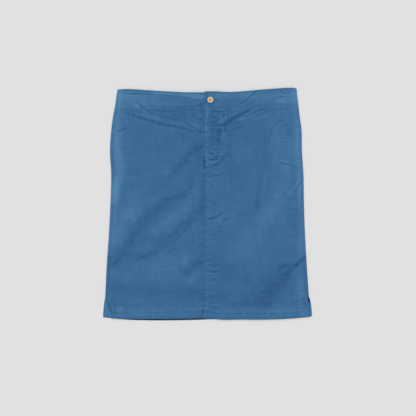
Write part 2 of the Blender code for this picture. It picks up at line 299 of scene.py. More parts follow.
STREWN = strewn_rows(
    # Within the slanting folds of the left front
    (-0.3, 2.8, 22, 12, 7, 8, 61, (-8, 134), (-40, 157), (-60, 180), (-98, 218)),
    (-0.28, 3, 22, 14, 5, 6, 62, (-42, 224), (-52, 246), (-94, 262), (-130, 288)),
    (-0.22, 3.2, 24, 14, 8, -6, 63, (-130, 288), (-152, 312), (-170, 338), (-182, 364)),
    (-0.22, 2.4, 24, 10, 7, 10, 64, (-180, 360), (-200, 388), (-226, 418)),
    (-0.35, 2.6, 18, 12, 8, 16, 65, (-18, 286), (-40, 308), (-60, 332)),
    (-0.22, 3, 26, 16, 10, -8, 66, (-56, 334), (-96, 356), (-120, 378)),
    (-0.3, 2.8, 20, 12, 4.5, 4, 67, (-116, 378), (-140, 391), (-180, 394)),
    (-0.22, 3, 16, 10, 7, 0, 68, (-8, 400), (-26, 412), (-54, 440)),
    # Faint ones on the plainer parts
    (-0.16, 2.4, 26, 26, 26, 20, 69, (-190, 110), (-120, 150), (-120, 240), (-190, 280)),
    (-0.14, 2.6, 28, 26, 30, -24, 70, (60, 130), (100, 200), (60, 280), (120, 380)),
    (-0.2, 2.2, 22, 26, 12, 4, 71, (-226, 480), (-130, 476), (-20, 484)),
    (-0.16, 2.4, 24, 18, 14, 0, 72, (-200, 440), (-120, 428), (-60, 420)),
    (0.16, 2.4, 24, 20, 16, 10, 73, (160, 90), (190, 160), (180, 250), (120, 340)),
    # Where the deep fold spreads down to the hem
    (-0.22, 3.4, 18, 26, 14, 10, 74, (204, 424), (178, 448), (158, 474), (136, 508)),
    (-0.3, 3, 16, 14, 9, -8, 75, (132, 456), (112, 480), (92, 508)),
    (-0.4, 3, 12, 20, 5, 24, 76, (160, 506), (110, 504), (58, 508)),
    # Across the centre front, drawn in by its seam
    (-0.35, 1.7, 20, 34, 5, 86, 77, (10, 200), (10, 300), (10, 400)),
    (-0.45, 1.9, 22, 22, 6, 88, 78, (10, 398), (12, 460), (10, 520)),
    (-0.3, 1.7, 14, 18, 5, 70, 79, (-26, 280), (-20, 340), (-20, 400)),
    (-0.42, 1.6, 10, 26, 9, 40, 80, (-60, 514), (-18, 508), (-16, 470)),
    # Above the right vent
    (-0.3, 1.7, 20, 12, 7, 78, 81, (212, 440), (212, 516)),
    (-0.25, 1.6, 16, 14, 5, 90, 82, (204, 80), (208, 200), (214, 400)),
)
STREWN_ON_FLY = strewn_rows(
    (-0.36, 1.5, 13, 54, 9, 90, 83, (14, 46), (16, 100), (16, 140), (12, 190)),
    (-0.3, 1.6, 12, 22, 9, 30, 84, (18, 50), (20, 100), (18, 160)),
    (0.7, 1.9, 12, 30, 10, 80, 85, (16, 50), (18, 110), (16, 184)),
    (-0.32, 1.7, 12, 12, 5, 20, 86, (26, 90), (24, 128)),
    (-0.35, 1.7, 13, 18, 7, 50, 91, (44, 48), (48, 74)),
)
STREWN_BY_FLY = strewn_rows(
    (-0.35, 1.7, 12, 26, 5, 76, 87, (-18, 50), (-20, 110), (-16, 190)),
    (-0.3, 2, 22, 12, 6, 4, 88, (-120, 58), (-60, 66), (-14, 76)),
)

# Painted light and shade: soft patches where the cloth is painted paler or darker than its folds alone make
# it, on the same plan
PAINTED_LIGHT_AND_SHADE = fold_rows(
    # Painted light, paler towards the sides, the waist and the hem
    (0.5, 12, (-206, -40), (-212, 60), (-216, 120), (-207, 190), (-216, 240), (-224, 280)),
    (0.34, 8, (-214, 200), (-222, 300), (-230, 400)),
    (0.45, 3.2, (-210, -10), (-224, 80), (-229, 140), (-226, 200), (-228, 270), (-232, 340), (-239, 440)),
    (0.3, 14, (-176, 268), (-200, 318), (-218, 376)),
    (0.3, 18, (-224, 22), (-100, 34)),
    (0.45, 4, (-182, 37), (-158, 45)),
    (0.46, 6, (-140, 12), (-60, 15), (6, 22)),
    (0.35, 8, (-10, 20), (120, 15)),
    (0.2, 10, (-120, 36), (-50, 36)),
    (0.15, 30, (-180, 436), (-110, 424), (-60, 404)),
    (0.24, 13, (-46, 378), (-52, 400), (-62, 424)),
    (0.24, 13, (-206, 438), (-164, 442)),
    (0.24, 13, (-30, 262), (-50, 280), (-90, 310), (-144, 346)),
    (0.22, 16, (-182, 226), (-172, 300), (-182, 324)),
    (0.25, 8, (-220, 18), (-150, 21)),
    (0.14, 9, (-160, 18), (-138, 22)),
    (0.18, 8, (-52, 59), (-34, 62)),
    (0.14, 14, (-176, 200), (-184, 222)),
    (0.14, 10, (-146, 236), (-136, 244)),
    (0.14, 12, (-104, 340), (-78, 342)),
    (0.16, 9, (-142, 358), (-138, 364)),
    (0.12, 14, (84, 318), (100, 342), (140, 342)),
    (0.14, 9, (118, 482), (142, 480)),
    (0.3, 6, (-60, 18), (0, 23)),
    # Painted light on the folded edge of the fly, and on the row of stitches round it
    (0.3, 3.5, (-2.5, 28), (-2.5, 196)),
    (0.1, 4, (37, 50), (38, 158)),
    (0.2, 9, (-30, 430), (-44, 462)),
    (0.5, 9, (204, -40), (213, 120), (220, 250)),
    (0.12, 16, (182, 90), (168, 100), (160, 124), (160, 190)),
    (0.2, 22, (182, 100), (184, 180), (170, 260)),
    (0.32, 15, (96, 20), (226, 22)),
    (0.4, 4, (156, 32), (190, 32)),
    (0.2, 16, (150, 50), (206, 60)),
    (0.4, 7, (216, 226), (226, 400)),
    (0.26, 18, (178, 240), (150, 280), (120, 340)),
    (0.14, 30, (60, 340), (110, 390)),
    (0.2, 14, (212, 430), (222, 512)),
    (0.16, 11, (14, 466), (60, 464), (92, 472), (84, 486)),
    (0.14, 10, (-236, 528), (-40, 528)),
    (0.12, 10, (140, 526), (250, 524)),
    (0.2, 7, (-216, 510), (-196, 524)),
    # Painted shade round the fly, in the folds and above the right vent
    (-0.24, 16, (16, 40), (22, 186)),
    (-0.22, 10, (18, 74), (22, 118)),
    (-0.2, 4.5, (8, 90), (12, 104)),
    (-0.26, 9, (32, 84), (54, 78)),
    (-0.16, 8, (36, 98), (46, 102)),
    (-0.8, 2.4, (-8.5, 156), (-8, 198)),
    (-0.18, 7, (196, 20), (208, 22)),
    (-0.12, 12, (-120, 80), (-80, 82)),
    (-0.14, 12, (-102, 198), (-96, 238)),
    (-0.1, 14, (80, 442), (104, 440)),
    (-0.12, 10, (0, 478), (2, 504)),
    (-0.2, 5, (24, 96), (29, 112)),
    (-0.16, 13, (-6, 66), (-110, 70)),
    (-0.14, 16, (-96, 104), (-20, 110)),
    (-0.14, 6, (-130, 50), (-60, 52), (-10, 48)),
    (-0.2, 16, (-16, 90), (-22, 210)),
    (-0.5, 5.6, (24, 96), (56, 75), (88, 57)),
    (-0.34, 3.4, (66, 70), (88, 57), (116, 42)),
    (-0.24, 18, (34, 108), (90, 78)),
    (-0.29, 12, (-6, 138), (-26, 144), (-42, 156), (-54, 173), (-66, 186), (-86, 210)),
    (-0.22, 8, (-36, 196), (-42, 234), (-60, 254)),
    (-0.31, 13, (-40, 246), (-94, 263), (-124, 289), (-150, 313), (-166, 334), (-183, 366), (-234, 428)),
    (-0.12, 14, (-90, 274), (-120, 304), (-150, 340)),
    (-0.2, 10, (0, 270), (-36, 306), (-58, 340)),
    (-0.18, 15, (-42, 322), (-90, 352), (-124, 380)),
    (-0.26, 10, (-104, 374), (-130, 389), (-160, 395), (-204, 388)),
    (-0.14, 4, (121, 236), (117, 262), (118, 296)),
    (-0.12, 8, (138, 80), (134, 160), (144, 210)),
    (-0.1, 20, (50, 140), (70, 220)),
    (-0.16, 10, (208, 282), (206, 344)),
    (0.12, 14, (164, 286), (168, 330)),
    (-0.2, 14, (-236, 470), (-140, 472), (-60, 480), (0, 478)),
    (-0.2, 8, (-18, 466), (-8, 508)),
    (-0.2, 12, (-56, 480), (-22, 478)),
    (-0.3, 6, (236, 390), (206, 416), (190, 426)),
    (-0.32, 25, (200, 422), (154, 458), (116, 510)),
    (-0.18, 10, (206, 420), (180, 450), (162, 486)),
    (-0.36, 8, (216, 410), (190, 418), (170, 424), (156, 438)),
    (-0.14, 10, (20, 482), (62, 494)),
    (-0.2, 12, (200, 422), (170, 450), (150, 472), (132, 508)),
    (-0.14, 16, (118, 436), (96, 452), (80, 504)),
    (-0.22, 24, (-10, 408), (30, 420), (20, 510)),
    (-0.3, 11, (-2, 396), (-24, 408), (-42, 424), (-62, 446)),
    (-0.2, 5, (-16, 400), (-12, 424)),
    (-0.32, 9, (160, 504), (100, 505), (40, 506)),
    (-0.22, 9, (24, 132), (24, 162)),
    (-0.28, 5.5, (-11, 190), (-12, 330)),
    (-0.12, 6.5, (-12, 330), (-13, 520)),
    (-0.5, 3.2, (-21, 36), (-14, 43), (-14, 60)),
    (-0.42, 2.4, (-10, 46), (-10, 104)),
    (-0.45, 2, (-15, 138), (8, 137.5)),
    (-0.35, 1.8, (-4, 41), (16, 41)),
    (-0.4, 2.8, (-6, 80), (22, 81)),
    (-0.4, 3.2, (22, 90), (29, 100), (27, 116)),
    (-0.4, 3.2, (18, 125), (34, 125)),
    (-0.5, 3, (-10, 506), (-12, 522), (-17, 548)),
    (-0.14, 22, (150, 440), (120, 480), (70, 506)),
    (-0.16, 6, (-12, 240), (-14, 270), (-18, 300)),
)
# The same for the back, where it shows beyond the front: painted shadow under the front's hem and vent edges,
# and painted light beside them
BACK_PAINTED_SHADOW_AND_LIGHT = fold_rows(
    (-1.4, 6, (-200, 543), (-90, 545), (8, 541)),
    (0.5, 6, (-242, 480), (-238, 505), (-234, 546)),
    (-1.1, 2, (-237, 482), (-231.5, 503), (-226.5, 516), (-225, 530)),
    (0.8, 3, (-226, 520), (-224.5, 548)),
    (0.5, 5, (242, 502), (243, 545)),
    (-1.4, 4, (237, 478), (238.5, 508)),
)

# Soft random relief: the size of its swells, how much longer than wide, their turn, and height
Crinkle = namedtuple("Crinkle", "size stretch turn height seed")
CRINKLES = [
    Crinkle(62, 1.7, 38, 0.46, 11),
    Crinkle(30, 1.8, -24, 0.28, 12),
    Crinkle(14, 1.6, 52, 0.1, 13),
    Crinkle(7, 1.4, 8, 0.05, 14),
]
FLY_CRUMPLE = [
    Crinkle(3.2, 2.2, 6, 0.5, 16),
    Crinkle(3, 1.8, 84, 0.4, 17),
    Crinkle(5, 1.5, -30, 0.35, 18),
]
RAGGED = Crinkle(6, 1.8, -50, 1, 15)

# Puckers along a seam: they reach in from it, and follow on one another along it
Pucker = namedtuple("Pucker", "reach spacing height seed")
CENTRE_PUCKER = Pucker(16, 4, 0.34, 31)
LEFT_CENTRE_PUCKER = Pucker(8, 4, 0.17, 31)
BAND_PUCKER = Pucker(14, 5, 0.2, 33)
HEM_PUCKER = Pucker(9, 7, 0.2, 34)
SIDE_PUCKER = Pucker(5, 5, 0.22, 35)
FLY_PUCKER = Pucker(18, 3.2, 0.36, 36)
FLY_STITCH_PUCKER = Pucker(4.5, 3.4, 0.6, 39)
TOP_PUCKER = Pucker(5, 3.8, 0.52, 37)
VENT_PUCKER = Pucker(12, 7, 0.45, 38)

# How a wall ends at a border: over what reach it is rounded off, and to what share. The borders
# of a piece are its left, right, upper and lower one.
Border = namedtuple("Border", "reach least")
FOLDED = Border(1.3, 0.16)
SEWN = Border(0.5, 0.75)
PANEL_EDGES = (FOLDED, FOLDED, SEWN, FOLDED)
LEFT_EDGES = (FOLDED, SEWN, SEWN, FOLDED)
UNDERLAP_EDGES = (SEWN, FOLDED, SEWN, FOLDED)
BAND_EDGES = (FOLDED, FOLDED, FOLDED, SEWN)

# Upright ribs in the waistband, on its left end and beside the button
Rib = namedtuple("Rib", "height spacing")
LEFT_RIB = Rib(0.22, 5.2)
BUTTON_RIB = Rib(0.4, 6.4)

Cloth = namedtuple("Cloth", "sides ends height wall borders")

# A fold is uneven by a share: its depth and width change over so many millimetres along it. It
# fades at each end over a share of its length, but over no more than so many millimetres.
FOLD_UNEVEN = 0.28
DEPTH_CHANGE = 9.0
DEPTH_SEED = 51
WIDTH_CHANGE = 22.0
WIDTH_SEED = 52
FADE_SHARE = 0.35
MOST_FADE = 22.0

# Painted shade in hollows and painted light on ridges, from the relief, together with wear: passes that set
# off broad and fine relief, what each counts for, and between what limits
BROAD_PASSES = 70
FINE_PASSES = 8
BROAD_SHADE_AND_WEAR = 0.33
FINE_SHADE_AND_WEAR = 0.72
RELIEF_SHADE_AND_WEAR = (-0.75, 0.4)
# How much paler each sheet is along its lower edge, and over what reach
HEM_PALER = 0.2
HEM_PALER_REACH = 1.4

# The cloth right round the button is painted darker in a ring, as the shadow that the button casts
BUTTON_SHADE = 0.5
BUTTON_SHADE_AT = 8.2
BUTTON_SHADE_WIDTH = 1.5

# The imprint of the fly button: its height, flat top and slope, and the rings drawn round it
IMPRINT_RISE = 1.9
IMPRINT_FLAT = 6.0
IMPRINT_SLOPE = 17.0
IMPRINT_RING = 0.35
IMPRINT_SPACING = 4.8

# The waist button: the dish, how far the four holes lie from the middle, and the thread in them
DISH_DEPTH = 1.3
HOLE_AWAY = 2.1
HOLE_RADIUS = 0.95
STRAND = (2.3, 0.3, 0.35)
STRAND_PITCH = 0.46
BAR_AWAY = 1.1

# Stitches across a bartack and round the buttonhole
TACK_WIDTH = 2.0
TACK_LEAN = 0.25
PURL_LENGTH = 1.7
PURL_AWAY = 1.15
BUTTONHOLE = (-0.8, 16.7)

# The button's profile: how far in from the rim, and how high, as a share of the thickness plus
# so many millimetres
Turned = namedtuple("Turned", "inset share rest")
BUTTON_PROFILE = [
    Turned(1.9, 0, 0),
    Turned(1.0, 0, 0.2),
    Turned(0.35, 0, 0.7),
    Turned(0, 0.45, 0),
    Turned(0.1, 0.66, 0),
    Turned(0.45, 1, -0.35),
    Turned(0.9, 1, -0.06),
    Turned(1.4, 1, 0),
    Turned(2.0, 1, -0.12),
    Turned(2.6, 1, -0.5),
    Turned(3.1, 1, -1.05),
    Turned(3.7, 1, -DISH_DEPTH),
]

# Soft lights: where from, how many degrees wide, and how strong
Softbox = namedtuple("Softbox", "name toward spread power")
SOFTBOXES = [
    Softbox("key_softbox", (0.12, 1.0, 1.25), 40, 0.85),
    Softbox("fill_softbox", (-0.3, -0.6, 1.3), 60, 0.30),
    Softbox("overhead_softbox", (0.0, 0.0, 1.0), 10, 1.28),
]
WORLD_LIGHT = 0.30
CAMERA_AT = (0.0011, -0.0090)
SENSOR_WIDTH = 36
FLOOR_SIZE = 6
FLOOR_DROP = 0.0002


def linear(hex_colour):
    """A scene-linear colour from an sRGB hex value."""
    channels = [int(hex_colour[i : i + 2], 16) / 255 for i in (1, 3, 5)]
    return tuple(c / 12.92 if c <= 0.04045 else ((c + 0.055) / 1.055) ** 2.4 for c in channels)


def a_length(name, about, size):
    return FloatProperty(name=name, description=about, default=size, unit="LENGTH")


def a_share(name, about):
    return FloatProperty(name=name, description=about, default=1.0, subtype="FACTOR", min=0, max=2)


def a_colour(name, about, hex_colour):
    return FloatVectorProperty(name=name, description=about, default=linear(hex_colour), subtype="COLOR")


class SkirtSizes(PropertyGroup):
    panel_wall: a_length("Panel wall", "Thickness of the body cloth", 0.0012)
    band_wall: a_length("Waistband wall", "Thickness of the waistband", 0.0016)
    crinkle: a_share("Crinkle", "Share of the random relief")
    pucker: a_share("Pucker", "Share of the puckers along seams")
    stitch_pitch: a_length("Stitch pitch", "From one stitch to the next", 0.0031)
    stitch_length: a_length("Stitch length", "What shows of one stitch", 0.0025)
    thread: a_length("Thread", "Thickness of the sewing thread", 0.0005)
    button_width: a_length("Button width", "Diameter of the waist button", 0.0143)
    button_steps: IntProperty(
        name="Button steps", description="Steps round the button", default=64, min=16, max=128
    )
    view_width: a_length("View width", "What the picture spans on the floor", 0.9735)
    camera_height: a_length("Camera height", "Camera above the floor", 3.0)


class SkirtColours(PropertyGroup):
    cloth: a_colour("Cloth", "Washed indigo-blue cotton", "#386892")
    # Painted: the hollow colour and the deepest colour are painted shade in folds and painted shadow under an
    # edge, and the ridge colour is painted light together with wear
    cloth_shaded_hollow: a_colour("Cloth in hollows", "Where dye has stayed", "#24527B")
    cloth_painted_shadow: a_colour("Cloth in shade", "Deepest dye, under an edge", "#0D2B46")
    cloth_lit_and_worn: a_colour("Cloth on ridges", "Where wear has paled it", "#5488B0")
    thread: a_colour("Thread", "Blue sewing thread", "#42709A")
    button: a_colour("Button", "Corozo nut, pale side", "#E6D0AE")
    # The darker button colour is the nut's grain, and also painted shade in the dish
    button_grain_and_shade: a_colour("Button grain", "Corozo nut, darker grain", "#B48C66")
    floor: a_colour("Floor", "Pale paper", "#E1E1E1")


def ease(t):
    """0 up to t = 0, 1 from t = 1, and smooth between."""
    t = np.clip(t, 0, 1)
    return t * t * (3 - 2 * t)


def ramp(value, start, span):
    """0 up to start, 1 from a span beyond it, and smooth between."""
    return ease((value - start) / span)


def bell(away, reach):
    """1 on a line, and less on both sides of it."""
    return np.exp(-((away / reach) ** 2))


def away_from(spot, x, drop):
    """How far each place lies from a spot."""
    return np.hypot(x - spot[0], drop - spot[1])


def smooth_through(knots, values, at):
    """Reads the smooth curve through the given values at the places asked for."""
    knots = np.asarray(knots, float)
    values = np.asarray(values, float)
    slopes = np.gradient(values, knots)
    at = np.clip(at, knots[0], knots[-1])
    row = np.clip(np.searchsorted(knots, at) - 1, 0, len(knots) - 2)
    span = knots[row + 1] - knots[row]
    t = (at - knots[row]) / span
    start = (2 * t**3 - 3 * t**2 + 1) * values[row]
    start += (t**3 - 2 * t**2 + t) * span * slopes[row]
    end = (3 * t**2 - 2 * t**3) * values[row + 1]
    end += (t**3 - t**2) * span * slopes[row + 1]
    return start + end


def side_line(side, vents):
    """The skirt's outline on one side as a function of the drop, down the seam and then the vent."""
    sign = -1 if side == "left" else 1

    def through(rows, drop):
        return smooth_through([row.drop for row in rows], [getattr(row, side) for row in rows], drop)

    return lambda drop: sign * np.where(drop < vents[0].drop, through(SIDE_SEAMS, drop), through(vents, drop))


def cross_line(edges, shift=0.0):
    """The drop of an edge that runs across the skirt, as a function of x."""
    return lambda x: smooth_through([row.x for row in edges], [row.drop for row in edges], x) + shift


def centre_line(shift):
    """The fly edge and the seam below it, moved sideways by shift."""
    drops = [row.drop for row in CENTRE_FRONT]
    places = [row.x for row in CENTRE_FRONT]
    return lambda drop: smooth_through(drops, places, drop) + shift


def left_under_line(drop):
    """The left front's inner edge: it runs on under the fly, and comes back to the seam below."""
    back = ramp(drop, LEFT_UNDER_END - EDGE_SLOPE, EDGE_SLOPE)
    return centre_line(-SEAM_GAP / 2)(drop) + LEFT_UNDER * (1 - back)


def underlap_line(drop):
    """The underlap's free edge, straight and then curved in towards the end of the fly."""
    start, end = UNDERLAP_CURVE
    t = np.clip((drop - start) / (end - start), 0, 1)
    return FLY_EDGE + UNDERLAP_REACH * np.sqrt(1 - t * t)


LEFT_SIDE = side_line("left", FRONT_VENTS)
RIGHT_SIDE = side_line("right", FRONT_VENTS)
HEM = cross_line(FRONT_HEM)


def wander(x, y, seed):
    """Smooth random values from -1 to 1 that change over about one unit of x and of y."""
    values = np.random.default_rng(seed).uniform(-1, 1, (97, 89))
    column = np.floor(x).astype(int)
    row = np.floor(y).astype(int)
    across = ease(x - column)
    down = ease(y - row)

    def at(step_row, step_column):
        return values[(row + step_row) % 97, (column + step_column) % 89]

    upper = at(0, 0) * (1 - across) + at(0, 1) * across
    lower = at(1, 0) * (1 - across) + at(1, 1) * across
    return upper * (1 - down) + lower * down


def swell(crinkle, x, drop):
    """The random swells of one size, turned and stretched."""
    turn = radians(crinkle.turn)
    along = (x * cos(turn) + drop * sin(turn)) / (crinkle.size * crinkle.stretch)
    across = (drop * cos(turn) - x * sin(turn)) / crinkle.size
    return wander(along, across, crinkle.seed)


def run_along(path):
    """How far along a path each of its points lies."""
    return np.concatenate([[0], np.cumsum(np.hypot(*np.diff(path, axis=0).T))])


def place_at(path, run, at):
    """The places at such distances along a path."""
    return np.stack([np.interp(at, run, path[:, axis]) for axis in (0, 1)], axis=-1)


def curve_through(path):
    """Places about 5 mm apart on the smooth curve through a path."""
    path = np.asarray(path, float)
    run = run_along(path)
    at = np.linspace(0, run[-1], max(3, round(run[-1] / 5)))
    return np.column_stack([smooth_through(run, path[:, axis], at) for axis in (0, 1)])


def fold_height(fold, x, drop, uneven=FOLD_UNEVEN):
    """How far a fold lifts or sinks the cloth at each place: less towards its ends, and unevenly."""
    height = np.zeros(np.shape(x))
    points = curve_through(fold.path)
    low = points.min(axis=0) - 3 * fold.width
    high = points.max(axis=0) + 3 * fold.width
    near = (x > low[0]) & (x < high[0]) & (drop > low[1]) & (drop < high[1])
    if not near.any():
        return height
    spot = np.column_stack([x[near], drop[near]])
    run = run_along(points)
    least = np.full(len(spot), np.inf)
    along = np.zeros(len(spot))
    for i, (start, stop) in enumerate(zip(points, points[1:])):
        way = stop - start
        t = np.clip((spot - start) @ way / (way @ way), 0, 1)
        away = np.hypot(*(spot - start - t[:, None] * way).T)
        closer = away < least
        least[closer] = away[closer]
        along[closer] = run[i] + t[closer] * (run[i + 1] - run[i])
    reach = min(FADE_SHARE * run[-1], MOST_FADE)
    fade = ease(along / reach) * ease((run[-1] - along) / reach)
    row = np.full_like(along, fold.path[0][1] + 0.5)
    depth = 1 + uneven * (wander(along / DEPTH_CHANGE, row, DEPTH_SEED) + swell(RAGGED, *spot.T))
    wider = 1 + 0.6 * uneven * wander(along / WIDTH_CHANGE, row, WIDTH_SEED)
    width = fold.width * (0.6 + 0.4 * fade) * wider
    height[near] = fold.rise * fade * depth * bell(least, width)
    return height


def strewn_folds(row):
    """The small creases of one strewn path, each a short fold of its own length, turn and depth."""
    chance = np.random.default_rng(row.seed)
    points = curve_through(row.path)
    run = run_along(points)
    made = []
    for i in range(row.count):
        at = (i + chance.uniform(0, 1)) / row.count * run[-1]
        way = place_at(points, run, at + 2) - place_at(points, run, at - 2)
        heading = np.arctan2(way[1], way[0])
        sideways = np.array([-np.sin(heading), np.cos(heading)])
        middle = place_at(points, run, at) + chance.normal(0, row.stray) * sideways
        heading += radians(row.turn + chance.normal(0, 13))
        half = row.length * chance.uniform(0.3, 0.75) * np.array([np.cos(heading), np.sin(heading)])
        bend = chance.uniform(-0.25, 0.25) * np.array([-half[1], half[0]])
        rise = row.rise * chance.uniform(0.4, 1.3)
        width = row.width * chance.uniform(0.7, 1.3)
        made.append(Fold(rise, width, (middle - half, middle + bend, middle + half)))
    return made


def laid_height(x, drop, folds=(), strewn=()):
    """The front's relief over its resting height: air under the cloth, less at its edges, and folds."""
    share = bpy.context.scene.skirt_sizes.crinkle
    sideways = np.minimum(x - LEFT_SIDE(drop), RIGHT_SIDE(drop) - x)
    inward = np.minimum(sideways, HEM(x) - drop + HEM_LOFT_REACH)
    full = 1 - np.exp(-np.clip(inward, 0, None) / LOFT_REACH)
    small = [fold for row in [*STREWN, *strewn] for fold in strewn_folds(row)]
    relief = LOFT + sum(fold_height(fold, x, drop) for fold in [*FOLDS, *folds, *small])
    relief = relief + share * sum(row.height * swell(row, x, drop) for row in CRINKLES)
    over = (relief - LEAST_LOFT) / SOFTEST_LOFT
    return full * (LEAST_LOFT + SOFTEST_LOFT * np.logaddexp(0, over))


def lap_height(x, drop, edge, end):
    """The lift of a piece that lies over another, whose edge and end are given."""
    across = ramp(x, edge + LAP_MARGIN, LAP_SLOPE)
    down = ramp(drop, end + LAP_MARGIN, LAP_SLOPE)
    return LAP_LIFT * (1 - across) * (1 - down)


def pucker_height(pucker, away, along):
    """The waves that a stitched seam draws in the cloth beside it."""
    share = bpy.context.scene.skirt_sizes.pucker
    broad = wander(along / pucker.spacing, away / (2.5 * pucker.reach) + 7, pucker.seed)
    finer = wander(along * 2.1 / pucker.spacing, away / (1.4 * pucker.reach) + 3, pucker.seed + 50)
    return share * pucker.height * (broad + 0.5 * finer) * bell(away, pucker.reach)


def groove(away, depth=0.45):
    """The furrow that a row of stitches pulls into the cloth."""
    return -depth * bell(away, STITCH_GROOVE)


def seam_ridge(away, outer, height):
    """The step where a turning or seam allowance lies under the cloth, from the edge as far as outer."""
    return height * (1 - ramp(away, outer - 1, 2))


def j_away(x, drop):
    """Distance outwards from the J-shaped row of stitches that closes the fly facing."""
    start, end = J_STITCH_CURVE
    round_part = np.hypot((x - FLY_EDGE) / J_STITCH_REACH, (drop - start) / (end - start)) - 1
    return np.where(drop < start, x - FLY_EDGE - J_STITCH_REACH, round_part * (end - start))


def fly_crumple(x, drop):
    """Fine crumpling of the doubled cloth at the fly."""
    share = bpy.context.scene.skirt_sizes.crinkle
    return share * sum(row.height * swell(row, x, drop) for row in FLY_CRUMPLE)


def hem_and_sides(x, drop):
    """What stitching does to a front panel along its hem, side seam and vents."""
    up = HEM(x) - drop
    side_in = np.minimum(x - LEFT_SIDE(drop), RIGHT_SIDE(drop) - x)
    along_vent = ramp(drop, VENT_TOP - 4, 6)
    hem = groove(up - HEM_STITCH_UP) + seam_ridge(up, HEM_TURNING, 0.15)
    hem += pucker_height(HEM_PUCKER, up - HEM_STITCH_UP, x)
    seam = groove(side_in - SIDE_STITCH_IN, 0.35) + seam_ridge(side_in, SIDE_STITCH_IN, 0.25)
    seam += pucker_height(SIDE_PUCKER, side_in - SIDE_STITCH_IN, drop)
    vent = groove(side_in - VENT_STITCH_IN) + seam_ridge(side_in, VENT_STITCH_IN, 0.3)
    round_top = np.arctan2(drop - VENT_TOP, side_in) * 16
    top = pucker_height(VENT_PUCKER, np.hypot(side_in, drop - VENT_TOP), round_top)
    return hem + (1 - along_vent) * seam + along_vent * vent + top


def seam_rise(seam):
    """How far a panel comes up to meet the thicker waistband at its seam."""
    return SEAM_RISE * (1 - ramp(seam, 0, SEAM_RISE_REACH))


def under_right_front(x):
    """0 where the left side shows, and 1 where it lies under the right front."""
    return ramp(x, FLY_EDGE - 3, 3)


def left_panel_height(x, drop):
    """The height of the left front's underside."""
    seam = drop - cross_line(BAND_SEAM_LEFT)(x)
    centre = centre_line(0)(drop) - x
    stitches = centre - LEFT_FLY_STITCH_IN
    below_fly = ramp(drop, LEFT_UNDER_END, 8)
    details = hem_and_sides(x, drop) + pucker_height(BAND_PUCKER, seam, x)
    details += 0.3 * fly_crumple(x, drop) * bell(centre, 18) * (1 - ramp(drop, FLY_END, 20))
    details += below_fly * pucker_height(LEFT_CENTRE_PUCKER, centre, drop)
    details += (1 - below_fly) * (groove(stitches, 0.4) + pucker_height(FLY_STITCH_PUCKER, stitches, drop))
    details *= 1 - under_right_front(x) * (1 - below_fly)
    return PANEL_REST + seam_rise(seam) + laid_height(x, drop, LEFT_FOLDS, STREWN_BY_FLY) + details


def under_height(x, drop):
    """The height of the underlap's underside."""
    return PANEL_REST + laid_height(x, drop)


def right_panel_height(x, drop):
    """The height of the right front's underside, over the fly and its concealed button."""
    seam = drop - cross_line(BAND_SEAM_RIGHT)(x)
    centre = x - centre_line(0)(drop)
    away = j_away(x, drop)
    below_fly = ramp(drop, J_STITCH_CURVE[1] - 4, 8)
    height = PANEL_REST + laid_height(x, drop, RIGHT_FOLDS, STREWN_ON_FLY)
    height += lap_height(x, drop, underlap_line(drop), LEFT_UNDER_END) + seam_rise(seam)
    height += hem_and_sides(x, drop) + pucker_height(BAND_PUCKER, seam, x)
    seam_work = pucker_height(CENTRE_PUCKER, centre, drop) + groove(centre - CENTRE_STITCH_IN, 0.4)
    height += below_fly * (seam_work + seam_ridge(centre, CENTRE_STITCH_IN + 3, 0.3))
    inside_fly = ramp(-away, -3, 6)
    height += (1 - below_fly) * (groove(away, 0.5) + pucker_height(FLY_STITCH_PUCKER, away, drop + x))
    height += inside_fly * (0.15 + pucker_height(FLY_PUCKER, (x - 14) * 0.7, drop))
    height += (0.25 + 0.75 * inside_fly) * bell(away, 40) * fly_crumple(x, drop) * (1 - below_fly)
    button_away = away_from(FLY_BUTTON_AT, x, drop)
    height += IMPRINT_RISE * (1 - ramp(button_away, IMPRINT_FLAT, IMPRINT_SLOPE))
    rings = np.cos(2 * pi * (button_away - IMPRINT_FLAT - 0.5) / IMPRINT_SPACING)
    return height + IMPRINT_RING * rings * bell(button_away - IMPRINT_FLAT - 1, IMPRINT_FLAT)


def band_details(x, drop, seam_line, waist_line):
    """What the stitches along a waistband's two edges do to it, and how far each place is from its top."""
    seam = cross_line(seam_line)(x) - drop
    top = drop - cross_line(waist_line)(x)
    details = pucker_height(BAND_PUCKER, seam, x) + groove(seam - BAND_STITCH_IN, 0.15)
    return details + pucker_height(TOP_PUCKER, top, x + 90), top


def ribs(rib, x):
    """Upright ribs across a waistband that is gathered a little."""
    return rib.height * np.sin(2 * pi * x / rib.spacing)


def left_band_height(x, drop):
    """The height of the left waistband's underside."""
    details, top = band_details(x, drop, BAND_SEAM_LEFT, WAIST_LEFT)
    details += ribs(LEFT_RIB, x) * ramp(x, -62, 16) * (1 - ramp(top, 8, 8))
    return BAND_REST + laid_height(x, drop, WAIST_ROLL) + details * (1 - under_right_front(x))


def right_band_height(x, drop):
    """The height of the right waistband's underside, over the end of the left one."""
    details, top = band_details(x, drop, BAND_SEAM_RIGHT, WAIST_RIGHT)
    details += ribs(BUTTON_RIB, x) * bell(x - 28, 22) * (1 - ramp(top, 3, 14))
    lap = lap_height(x, drop, FLY_EDGE + BAND_UNDER, LEFT_UNDER_END)
    return BAND_REST + laid_height(x, drop, BAND_PINCH) + lap + details


def back_height(x, drop):
    """The back lies flat on the floor."""
    return 0 * (x + drop)


def band_ends(waist, seam):
    """The upper and lower line of a waistband piece."""
    return cross_line(waist), cross_line(seam, -SEAM_GAP / 2)


